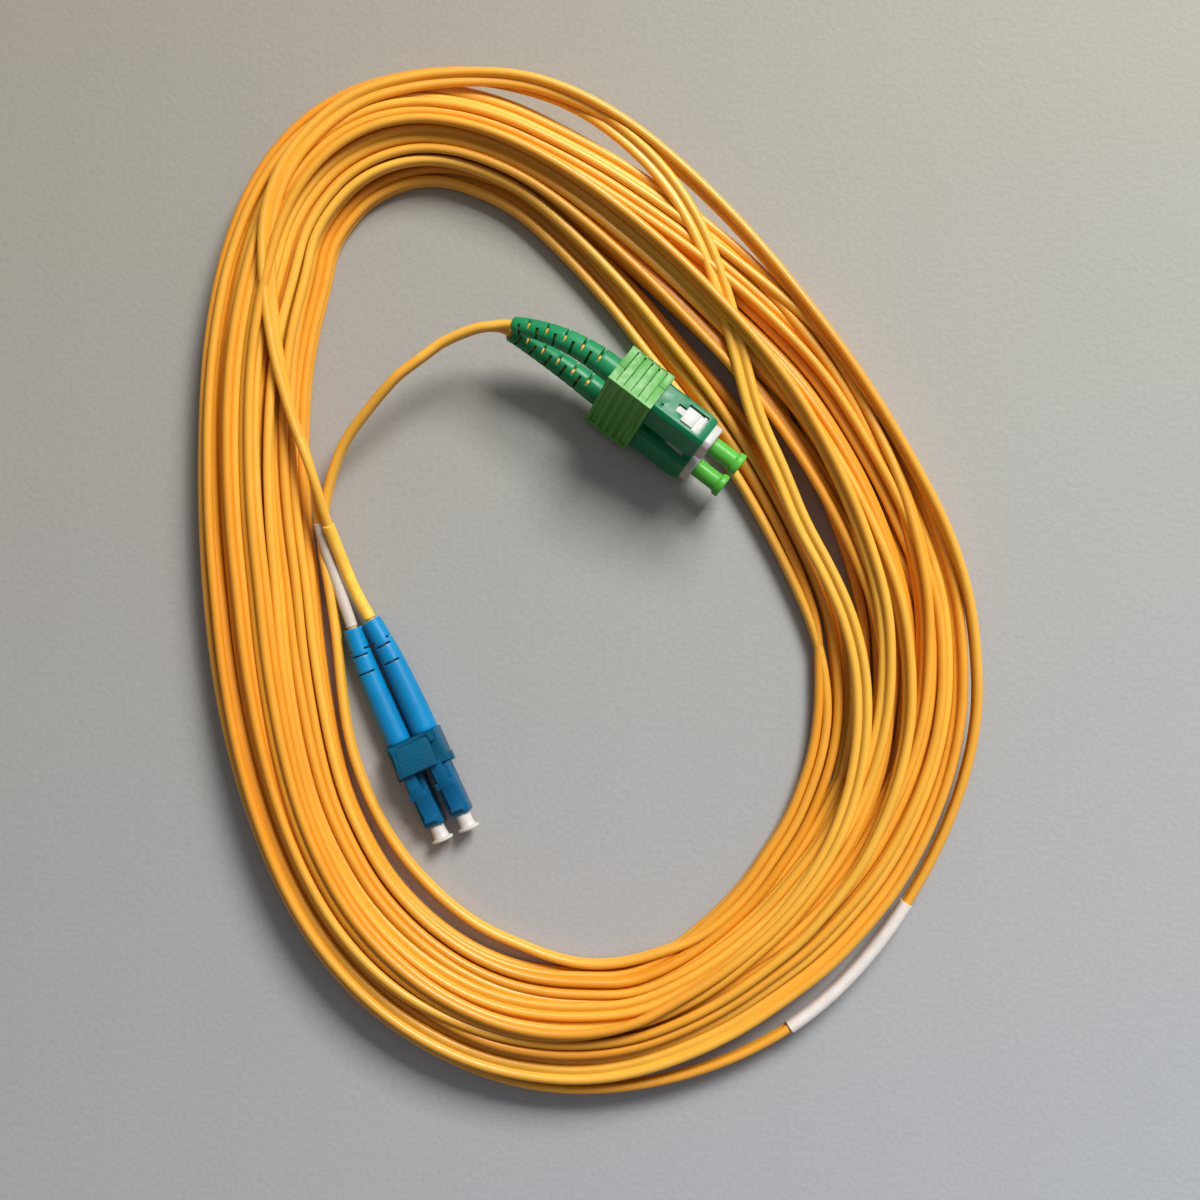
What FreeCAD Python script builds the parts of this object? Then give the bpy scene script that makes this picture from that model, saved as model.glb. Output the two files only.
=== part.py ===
import FreeCAD, Part
import math
import os

# Fiber optic patch cord, sizes in millimetres.
# A flat twin cord lies in a coil, with an angled-polish SC duplex plug on its inner end
# and an LC duplex plug on its outer end. +X is right, +Y is away and +Z is up, as it lies.
# The origin is on the resting plane, under the middle of the two plugs.

V = FreeCAD.Vector
UP = V(0, 0, 1)

# Where the middle of the two plugs is in the layout that the points below are given in
LAYOUT_MIDDLE = V(-12.373, 3.146, 0)

# Cord: two round legs fused side by side
LEG_RADIUS = 1.0
LEG_OFFSET = 1.05
LEG_SIDES = 8
WEB_HALF = 0.5
LEG_BORE = 0.55
LEG_BORE_DEPTH = 3.0
CORD_WIDTH = 2 * (LEG_OFFSET + LEG_RADIUS)
CORD_REST_Z = CORD_WIDTH / 2
FIBRE_RADIUS = 0.45

# Coil: two layers of turns on edge, wound outwards on the bottom and inwards on top
COIL_TURNS = 18
COIL_CLIMB = 0.5
COIL_START_DEG = -90.0
COIL_STEP = 0.125
LAYER_PITCH = CORD_WIDTH + 0.5
INNER_EGG = {"centre": (-13.50, 2.58), "a": 51.84, "b": 86.32, "narrowing": -0.159,
             "tilt": 0.341, "bulge_x": 1.18, "bulge_y": -6.11}
COIL_WIDTH = 23.6
COIL_WIDENING = 1.0
COIL_WIDEST_DEG = 30.0

# SC plug: local x runs forward from the housing's front, y across the pair, z through it
SC_FORWARD = V(0.796, -0.605, 0)
SC_STACK = V(0.210, 0.277, 0.937)
SC_CLIP_PLACE = V(6.10, 42.30, 0)
SC_PITCH = 12.7
SC_HOUSING = (9.0, 7.4)
SC_HOUSING_LENGTH = 22.5
SC_HOUSING_CHAMFER = 0.8
SC_WINDOW = (-6.7, -1.8)
SC_WINDOW_HALF = 2.3
SC_NOTCH_BACK = -8.6
SC_NOTCH_HALF = 0.95
SC_FRAME = (7.6, 5.9)
SC_FRAME_CHAMFER = 0.9
SC_FRAME_FRONT = 1.8
SC_FRAME_BACK = 4.5 - SC_HOUSING_LENGTH
SC_CATCH_FRONT = -3.6
SC_CATCH_HALF = 1.85
SC_BORE = 2.5
SC_NOSE_BORE = 2.45
SC_WEB = (-4.2, -2.7)
SC_WEB_HOLE = 1.5
SC_FERRULE = 1.25
SC_FERRULE_BACK = -6.4
SC_FERRULE_TIP = 6.8
SC_POLISH_DEG = 8.0
SC_FLANGE = 2.3
SC_FLANGE_LENGTH = 3.1
SC_SPRING = {"radius": 1.85, "wire": 0.25, "turns": 6}
SC_SPRING_BACK = SC_FRAME_BACK + 3.5
SC_RING_BACK = SC_FRAME_BACK - 1.5
SC_NECK = 1.7
SC_NECK_BACK = -SC_HOUSING_LENGTH - 2.5
SC_CRIMP_WALL = 0.5
SC_CRIMP_TAIL = 1.45
SC_BOOT_FRONT = 2.2 - SC_HOUSING_LENGTH
SC_BOOT_BEND = -SC_HOUSING_LENGTH - 3.5
SC_BOOT_ARC_LENGTH = 21.5
SC_BOOT_SWAY_DEG = 38.0
SC_BOOT_DRAW_IN = (SC_PITCH / 2 - 1.76) / math.cos(math.radians(SC_BOOT_SWAY_DEG))
SC_BOOT_ARC = SC_BOOT_ARC_LENGTH ** 2 / (2 * SC_BOOT_DRAW_IN)
SC_BOOT_RADII = (2.8, 1.7)
SC_BOOT_SLOTS = 10
SC_BOOT_SLOT = 0.6
SC_BOOT_SLOT_ENDS = (1.5, 1.82)
SC_CLIP = (23.5, 9.2)
SC_CLIP_BACK = -SC_HOUSING_LENGTH - 0.9
SC_CLIP_CHAMFER = 0.5
SC_CLIP_RIBS = 6
SC_CLIP_RIB = 1.6
SC_CLIP_GROOVE = 0.24
SC_CLIP_GROOVE_DEPTH = 0.3
SC_CLIP_FRONT = SC_CLIP_BACK + SC_CLIP_RIBS * SC_CLIP_RIB + (SC_CLIP_RIBS - 1) * SC_CLIP_GROOVE
SC_CLIP_MIDDLE_X = (SC_CLIP_BACK + SC_CLIP_FRONT) / 2
SC_CLIP_STEP = 0.8
SC_CLIP_MOUTH = 3.0
SC_CAP_ENDS = (-0.5, 9.1)
SC_CAP_BODY = 2.0
SC_CAP_RIM = 2.6
SC_CAP_RIM_LENGTH = 1.4
SC_CAP_FLOOR = 7.4

# LC plug, local axes in the same sense
LC_FORWARD = V(0.410, -0.912, 0)
LC_ROLL_DEG = 6.0
LC_NOSE_PLACE = V(-32.5, -47.2, 0)
LC_PITCH = 6.25
LC_HOUSING = 4.5
LC_HOUSING_BACK = -14.0
LC_HOUSING_CHAMFER = 0.35
LC_BORE = 1.5
LC_NOSE_BORE = 1.75
LC_WEB = (-2.6, -1.4)
LC_WEB_HOLE = 0.95
LC_FERRULE = 0.625
LC_FERRULE_BACK = -4.9
LC_FERRULE_TIP = 1.8
LC_FLANGE = 1.35
LC_FLANGE_LENGTH = 2.9
LC_SPRING = {"radius": 1.05, "wire": 0.17, "turns": 6}
LC_SPRING_BACK = LC_HOUSING_BACK + 4.0
LC_COLLAR = 2.2
LC_COLLAR_LENGTH = 1.4
LC_SHANK = 1.7
LC_SHANK_BACK = LC_HOUSING_BACK - 5.2
LC_NECK = 1.3
LC_NECK_BACK = LC_HOUSING_BACK - 9.5
LC_CRIMP_WALL = 0.4
LC_CRIMP_TAIL = 1.35
LC_BOOT_FRONT = LC_HOUSING_BACK - 5.4
LC_BOOT_BEND = LC_HOUSING_BACK - 12.0
LC_BOOT_ARC_LENGTH = 20.0
LC_BOOT_SWAY_DEG = 0.0
LC_BOOT_DRAW_IN = LC_PITCH / 2 - 2.199
LC_BOOT_ARC = LC_BOOT_ARC_LENGTH ** 2 / (2 * LC_BOOT_DRAW_IN)
LC_BOOT_RADII = (2.75, 2.1)
LC_BOOT_STATIONS = [(4.8, True), (6.05, False), (8.8, True), (10.0, False)]
LC_BOOT_SLOT = 0.35
LC_CLIP_WIDTH = LC_PITCH + LC_HOUSING + 1.4
LC_CLIP_HEIGHTS = (-2.75, 3.0)
LC_CLIP_CHAMFER = 0.5
LC_CLIP_FRONT = LC_HOUSING_BACK + 2.0
LC_HINGE = (LC_HOUSING_BACK - 4.0, 3.75)
LC_HINGE_PIN = 0.45
LC_EAR_Y = 4.4
LC_EAR_HALF = (0.9, 0.45)
LC_TRIGGER_TIP = (LC_HOUSING_BACK + 1.8, 5.95)
LC_TRIGGER_HALF = (3.85, 0.45)
LC_TRIGGER_RIBS = 4
LC_TRIGGER_RIB_PITCH = 0.9
LC_LATCH_ROOT = (-1.5, 3.05)
LC_LATCH_TAIL = (-12.9, 4.65)
LC_LATCH_HALF = (1.3, 0.3)
LC_LATCH_CATCH = (-6.8, -5.2)
LC_LATCH_CATCH_HALF = 2.0
LC_CAP_ENDS = (-0.3, 3.7)
LC_CAP_BODY = 1.6
LC_CAP_RIM = 2.35
LC_CAP_RIM_LENGTH = 1.2
LC_CAP_FLOOR = 2.4

# Clearances
SLIDING = 0.05
RUNNING = 0.03
FACING = 0.05

# Room inside a boot round the leg, a slot's half chord as a share of the boot's radius there,
# the hole for the fibre, and the bite of one shape into the next
LEG_ROOM = 0.15
SLOT_CHORD = 0.6
FIBRE_HOLE = 0.6
BITE = 0.1


# General shapes in a plug's local axes

def block(x0, x1, y0, y1, z0, z1):
    return Part.makeBox(x1 - x0, y1 - y0, z1 - z0, V(x0, y0, z0))


def rod(radius, x0, x1, y=0.0, z=0.0):
    return Part.makeCylinder(radius, x1 - x0, V(x0, y, z), V(1, 0, 0))


def pipe(outer, inner, x0, x1, y=0.0):
    return rod(outer, x0, x1, y).cut(rod(inner, x0 - 1, x1 + 1, y))


def chamfered_bar(x0, x1, y, size, chamfer):
    half_y = size[0] / 2
    half_z = size[1] / 2
    corners = []
    for sign_y, sign_z in ((1, 1), (-1, 1), (-1, -1), (1, -1)):
        near = V(x0, y + sign_y * half_y, sign_z * (half_z - chamfer))
        far = V(x0, y + sign_y * (half_y - chamfer), sign_z * half_z)
        corners += [near, far] if sign_y * sign_z > 0 else [far, near]
    return Part.Face(Part.makePolygon(corners + corners[:1])).extrude(V(x1 - x0, 0, 0))


def plug_placement(forward, across, origin):
    x = V(forward).normalize()
    z = x.cross(across).normalize()
    y = z.cross(x)
    matrix = FreeCAD.Matrix(x.x, y.x, z.x, origin.x, x.y, y.y, z.y, origin.y,
                            x.z, y.z, z.z, origin.z, 0, 0, 0, 1)
    return FreeCAD.Placement(matrix)


# Paths and sweeps

def three_point_arc(start, corner, end):
    cos_half = (end - start).Length / (2 * (corner - start).Length)
    middle = (start + corner * (2 * cos_half) + end) * (1 / (2 * (1 + cos_half)))
    return Part.Arc(start, middle, end).toShape()


def biarc(p0, t0, p1, t1):
    chord = p1 - p0
    tangents = t0 + t1
    a = 2 * (1 - t0.dot(t1))
    b = chord.dot(tangents)
    reach = chord.dot(chord) / (2 * b)
    if a > 1e-9:
        reach = (math.sqrt(b * b + a * chord.dot(chord)) - b) / a
    first = p0 + t0 * reach
    second = p1 - t1 * reach
    joint = (first + second) * 0.5
    return [three_point_arc(p0, first, joint), three_point_arc(joint, second, p1)]


def rounded_route(points, name):
    edges = []
    start = points[0]
    tightest = 1e9
    for before, corner, after in zip(points, points[1:], points[2:]):
        into = corner - before
        out = after - corner
        reach = 0.45 * min(into.Length, out.Length)
        half_turn = into.getAngle(out) / 2
        tightest = min(tightest, reach / math.tan(half_turn))
        near = corner - V(into).normalize() * reach
        far = corner + V(out).normalize() * reach
        edges += [Part.LineSegment(start, near).toShape(), three_point_arc(near, corner, far)]
        start = far
    edges.append(Part.LineSegment(start, points[-1]).toShape())
    print(f"{name}: least bend radius {tightest:.1f} mm")
    return edges


def path_length(edges):
    return sum(edge.Length for edge in edges)


def section_axes(tangent, upright):
    side = upright.cross(tangent).normalize()
    return side, tangent.cross(side).normalize()


def round_section(centre, tangent, radius):
    return Part.Wire(Part.Circle(centre, tangent, radius).toShape())


def twin_section(centre, tangent):
    side, upright = section_axes(tangent, UP)
    leg = []
    for corner in range(1, LEG_SIDES):
        angle = 2 * math.pi * corner / LEG_SIDES - math.pi / 2
        leg.append((LEG_RADIUS * math.cos(angle), LEG_OFFSET + LEG_RADIUS * math.sin(angle)))
    outline = [(WEB_HALF, 0)] + leg + [(-WEB_HALF, 0)] + [(-across, -height) for across, height in leg]
    corners = [centre + side * across + upright * height for across, height in outline]
    return Part.makePolygon(corners + corners[:1])


def stadium_section(centre, tangent, margin):
    side, upright = section_axes(tangent, UP)
    half = LEG_RADIUS + margin

    def at(across, height):
        return centre + side * across + upright * height

    return Part.Wire([
        Part.Arc(at(half, LEG_OFFSET), at(0, LEG_OFFSET + half), at(-half, LEG_OFFSET)).toShape(),
        Part.LineSegment(at(-half, LEG_OFFSET), at(-half, -LEG_OFFSET)).toShape(),
        Part.Arc(at(-half, -LEG_OFFSET), at(0, -LEG_OFFSET - half), at(half, -LEG_OFFSET)).toShape(),
        Part.LineSegment(at(half, -LEG_OFFSET), at(half, LEG_OFFSET)).toShape(),
    ])


def path_start(edges):
    first = edges[0]
    return first.valueAt(first.FirstParameter), first.tangentAt(first.FirstParameter)


def sweep(edges, section, upright=False):
    shell = Part.BRepOffsetAPI.MakePipeShell(Part.Wire(edges))
    if upright:
        shell.setBiNormalMode(UP)
    shell.add(section)
    shell.build()
    shell.makeSolid()
    return shell.shape()


def tapered_sweep(edges, radii):
    centre, tangent = path_start(edges)
    last = edges[-1]
    end = last.valueAt(last.LastParameter)
    end_tangent = last.tangentAt(last.LastParameter)
    shell = Part.BRepOffsetAPI.MakePipeShell(Part.Wire(edges))
    shell.add(round_section(centre, tangent, radii[0]))
    shell.add(round_section(end, end_tangent, radii[1]))
    shell.build()
    shell.makeSolid()
    return shell.shape()


def cord_sweep(edges):
    centre, tangent = path_start(edges)
    return sweep(edges, twin_section(centre, tangent), upright=True)


def leg_sweep(edges):
    centre, tangent = path_start(edges)
    return sweep(edges, round_section(centre, tangent, LEG_RADIUS))


# The coil's plan: an inner egg, and the turns' width measured square to it

def egg_point(egg, degrees):
    angle = math.radians(degrees)
    x = egg["a"] * math.cos(angle) * (1 + egg["narrowing"] * math.sin(angle))
    x += egg["bulge_x"] * math.cos(2 * angle)
    y = egg["b"] * math.sin(angle) + egg["bulge_y"] * math.cos(2 * angle)
    cos_tilt = math.cos(egg["tilt"])
    sin_tilt = math.sin(egg["tilt"])
    return V(egg["centre"][0] + cos_tilt * x - sin_tilt * y,
             egg["centre"][1] + sin_tilt * x + cos_tilt * y, 0)


def ring_point(degrees, across=0.0, outward=0.0, z=0.0):
    ahead = egg_point(INNER_EGG, degrees + 0.5) - egg_point(INNER_EGG, degrees - 0.5)
    normal = ahead.normalize().cross(UP)
    width = COIL_WIDTH + COIL_WIDENING * math.cos(math.radians(degrees - COIL_WIDEST_DEG))
    return egg_point(INNER_EGG, degrees) + normal * (across * width + outward) + UP * z


def coil_point(turn):
    half = COIL_TURNS / 2
    across = 1 - abs(turn - half) / half
    climb = min(max((turn - half) / COIL_CLIMB + 0.5, 0), 1)
    z = CORD_REST_Z + LAYER_PITCH * climb * climb * (3 - 2 * climb)
    return ring_point(COIL_START_DEG + 360 * turn, across, 0, z)


def coil_edges():
    nodes = []
    for index in range(int(COIL_TURNS / COIL_STEP) + 1):
        turn = index * COIL_STEP
        ahead = coil_point(turn + 1e-4) - coil_point(turn - 1e-4)
        nodes.append((coil_point(turn), ahead.normalize()))
    edges = []
    for (p0, t0), (p1, t1) in zip(nodes, nodes[1:]):
        edges += biarc(p0, t0, p1, t1)
    return edges


def segment_distance(point, start, end):
    along = end - start
    share = max(0, min(1, (point - start).dot(along) / along.dot(along)))
    return (start + along * share - point).Length


def coil_gap(edges):
    samples = 8
    legs = {1: [], -1: []}
    for edge in edges:
        for index in range(samples):
            share = index / samples
            at = edge.FirstParameter + (edge.LastParameter - edge.FirstParameter) * share
            for sign in legs:
                legs[sign].append(edge.valueAt(at) + UP * (sign * LEG_OFFSET))
    per_turn = int(samples * 2 / COIL_STEP)
    least = 1e9
    for lower in legs.values():
        for upper in legs.values():
            for index, point in enumerate(lower):
                for other in range(index + per_turn - 5, index + per_turn + 5):
                    if other + 1 < len(upper):
                        least = min(least, segment_distance(point, upper[other], upper[other + 1]))
    return least - 2 * LEG_RADIUS


# Boots: each bends towards its neighbour, in a plane turned by its sway about the boot's own line

def bend_direction(y, sway):
    toward = -1 if y > 0 else 1
    return V(0, toward * math.cos(math.radians(sway)), math.sin(math.radians(sway)))


def boot_point(y, bend, radius, sway, angle):
    aside = bend_direction(y, sway) * (radius * (1 - math.cos(angle)))
    return V(bend - radius * math.sin(angle), y, 0) + aside


def boot_path(y, front, bend, radius, length, sway):
    angle = length / radius
    start = V(bend, y, 0)
    corner = start - V(radius * math.tan(angle / 2), 0, 0)
    end = boot_point(y, bend, radius, sway, angle)
    return [Part.LineSegment(V(front, y, 0), start).toShape(), three_point_arc(start, corner, end)]


def boot_slots(y, bend, radius, length, sway, radii, stations, width, front):
    slots = []
    full = length + front - bend
    for from_tip, across_y in stations:
        along = length - from_tip
        hinge = V(1, 0, 0).cross(bend_direction(y, sway))
        turn = math.degrees(-along / radius)
        local = radii[1] + (radii[0] - radii[1]) * from_tip / full
        half_chord = SLOT_CHORD * local
        half_y = 2 * local if across_y else half_chord
        half_z = half_chord if across_y else 2 * local
        slot = block(-width / 2, width / 2, -half_y, half_y, -half_z, half_z)
        slot.Placement = FreeCAD.Placement(boot_point(y, bend, radius, sway, along / radius),
                                           FreeCAD.Rotation(hinge, turn))
        slots.append(slot)
    return Part.makeCompound(slots)


# SC plug pair

def coil_spring(y, front, back, radius, wire, turns):
    pitch = (front - back - 2 * wire) / turns
    start = front - wire

    def at(turn):
        angle = 2 * math.pi * turn
        return V(start - pitch * turn, y + radius * math.cos(angle), radius * math.sin(angle))

    def heading(turn):
        angle = 2 * math.pi * turn
        around = 2 * math.pi * radius
        return V(-pitch, -around * math.sin(angle), around * math.cos(angle)).normalize()

    edges = []
    for index in range(int(turns * 4)):
        turn = index / 4
        edges += biarc(at(turn), heading(turn), at(turn + 0.25), heading(turn + 0.25))
    centre, tangent = path_start(edges)
    return sweep(edges, round_section(centre, tangent, wire))


def crimp_sleeve(y, neck, wall, tail, front, back):
    step = back - 0.3
    crimp = pipe(neck + wall, neck + FACING, back, front, y)
    crimp = crimp.fuse(pipe(neck + wall, LEG_RADIUS + FACING, step, back, y))
    return crimp.fuse(pipe(tail, LEG_RADIUS + FACING, step - 1.2, step, y))


def dust_cap(y, ends, body, rim, rim_length, bore, floor):
    back, front = ends
    cap = rod(body, back, front, y).fuse(rod(rim, front - rim_length, front, y))
    return cap.cut(rod(bore, back - 1, floor, y))


def sc_connector(y):
    housing = chamfered_bar(-SC_HOUSING_LENGTH, 0, y, SC_HOUSING, SC_HOUSING_CHAMFER)
    cavity = (SC_FRAME[0] + 2 * SLIDING, SC_FRAME[1] + 2 * SLIDING)
    housing = housing.cut(chamfered_bar(-SC_HOUSING_LENGTH - 1, 1, y, cavity, SC_FRAME_CHAMFER))
    window_back, window_front = SC_WINDOW
    across = SC_HOUSING[0]
    housing = housing.cut(block(window_back, window_front, y - across, y + across,
                                -SC_WINDOW_HALF, SC_WINDOW_HALF))
    housing = housing.cut(block(SC_NOTCH_BACK, window_back, y - across, y + across,
                                -SC_NOTCH_HALF, SC_NOTCH_HALF))

    frame = chamfered_bar(SC_FRAME_BACK, SC_FRAME_FRONT, y, SC_FRAME, SC_FRAME_CHAMFER)
    catch_reach = SC_HOUSING[0] / 2 - 0.2
    frame = frame.fuse(block(window_back + 0.2, SC_CATCH_FRONT, y - catch_reach, y + catch_reach,
                             -SC_CATCH_HALF, SC_CATCH_HALF))
    frame = frame.cut(rod(SC_BORE, SC_FRAME_BACK - 1, SC_WEB[0], y))
    frame = frame.cut(rod(SC_WEB_HOLE, SC_WEB[0] - 1, SC_WEB[1] + 1, y))
    frame = frame.cut(rod(SC_NOSE_BORE, SC_WEB[1], SC_FRAME_FRONT + 1, y))

    ferrule = rod(SC_FERRULE, SC_FERRULE_BACK, SC_FERRULE_TIP, y)
    wedge = block(0, 3, -3, 3, -3, 3)
    wedge.Placement = FreeCAD.Placement(V(SC_FERRULE_TIP - 0.2, y, 0),
                                        FreeCAD.Rotation(V(0, 1, 0), SC_POLISH_DEG))
    ferrule = ferrule.cut(wedge)
    flange_front = SC_WEB[0] - FACING
    flange_back = flange_front - SC_FLANGE_LENGTH
    flange = rod(SC_FLANGE, flange_back, flange_front, y)
    flange = flange.cut(rod(SC_FERRULE, SC_FERRULE_BACK, flange_front + 1, y))
    flange = flange.cut(rod(FIBRE_RADIUS, flange_back - 1, SC_FERRULE_BACK + BITE, y))
    fibre = rod(FIBRE_RADIUS, SC_NECK_BACK - 2, SC_FERRULE_BACK, y)
    spring = coil_spring(y, flange_back - FACING, SC_SPRING_BACK + FACING, **SC_SPRING)

    ring = rod(SC_BORE, SC_RING_BACK, SC_SPRING_BACK, y).fuse(rod(SC_NECK, SC_NECK_BACK, SC_RING_BACK, y))
    ring = ring.cut(rod(FIBRE_HOLE, SC_NECK_BACK - 1, SC_SPRING_BACK + 1, y))
    crimp = crimp_sleeve(y, SC_NECK, SC_CRIMP_WALL, SC_CRIMP_TAIL, SC_RING_BACK - 0.3, SC_NECK_BACK)

    path = boot_path(y, SC_BOOT_FRONT, SC_BOOT_BEND, SC_BOOT_ARC, SC_BOOT_ARC_LENGTH, SC_BOOT_SWAY_DEG)
    boot = tapered_sweep(path, SC_BOOT_RADII)
    boot = boot.cut(rod(SC_NECK + SC_CRIMP_WALL + BITE, SC_NECK_BACK - 0.3, SC_BOOT_FRONT + 1, y))
    arc_bore = sweep(path[1:], round_section(*path_start(path[1:]), LEG_RADIUS + LEG_ROOM))
    boot = boot.cut(arc_bore.fuse(rod(SC_CRIMP_TAIL + BITE, SC_BOOT_BEND - 0.6, SC_NECK_BACK, y)))
    first, last = SC_BOOT_SLOT_ENDS
    slot_pitch = (SC_BOOT_ARC_LENGTH - first - last) / (SC_BOOT_SLOTS - 1)
    stations = [(first + slot_pitch * index, index % 2 == 0) for index in range(SC_BOOT_SLOTS)]
    boot = boot.cut(boot_slots(y, SC_BOOT_BEND, SC_BOOT_ARC, SC_BOOT_ARC_LENGTH, SC_BOOT_SWAY_DEG,
                               SC_BOOT_RADII, stations, SC_BOOT_SLOT, SC_BOOT_FRONT))
    cap = dust_cap(y, SC_CAP_ENDS, SC_CAP_BODY, SC_CAP_RIM, SC_CAP_RIM_LENGTH,
                   SC_FERRULE + RUNNING, SC_CAP_FLOOR)
    name = "b" if y > 0 else "a"
    return {
        f"sc_housing_{name}": housing,
        f"sc_frame_{name}": frame,
        f"sc_ferrule_{name}": ferrule,
        f"sc_flange_{name}": flange,
        f"sc_spring_{name}": spring,
        f"sc_stop_ring_{name}": ring,
        f"sc_crimp_{name}": crimp,
        f"sc_boot_{name}": boot,
        f"sc_cap_{name}": cap,
        f"sc_fibre_{name}": fibre,
    }


def sc_clip_halves():
    half_width = SC_CLIP[0] / 2
    half_thick = SC_CLIP[1] / 2
    body = chamfered_bar(SC_CLIP_BACK, SC_CLIP_FRONT, 0, SC_CLIP, SC_CLIP_CHAMFER)
    core_size = (SC_CLIP[0] - 2 * SC_CLIP_GROOVE_DEPTH, SC_CLIP[1] - 2 * SC_CLIP_GROOVE_DEPTH)
    for index in range(1, SC_CLIP_RIBS):
        x = SC_CLIP_FRONT - index * SC_CLIP_RIB - (index - 0.5) * SC_CLIP_GROOVE
        ring = block(x - SC_CLIP_GROOVE / 2, x + SC_CLIP_GROOVE / 2, -half_width - 1, half_width + 1,
                     -half_thick - 1, half_thick + 1)
        core = chamfered_bar(x - SC_CLIP_GROOVE, x + SC_CLIP_GROOVE, 0, core_size, SC_CLIP_CHAMFER)
        body = body.cut(ring.cut(core))
    for y in (-SC_PITCH / 2, SC_PITCH / 2):
        body = body.cut(chamfered_bar(-SC_HOUSING_LENGTH, SC_CLIP_FRONT + 1, y, SC_HOUSING,
                                      SC_HOUSING_CHAMFER))
        body = body.cut(rod(SC_CLIP_MOUTH, SC_CLIP_BACK - 1, 0.5 - SC_HOUSING_LENGTH, y))
    far = half_width + 2
    front_half = block(SC_CLIP_MIDDLE_X, SC_CLIP_FRONT + 1, -far, far, -SC_CLIP_STEP, half_thick + 1)
    front_half = front_half.fuse(block(SC_CLIP_BACK - 1, SC_CLIP_MIDDLE_X, -far, far,
                                       SC_CLIP_STEP, half_thick + 1))
    return {"sc_clip_upper": body.common(front_half), "sc_clip_lower": body.cut(front_half)}


# LC plug pair

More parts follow.
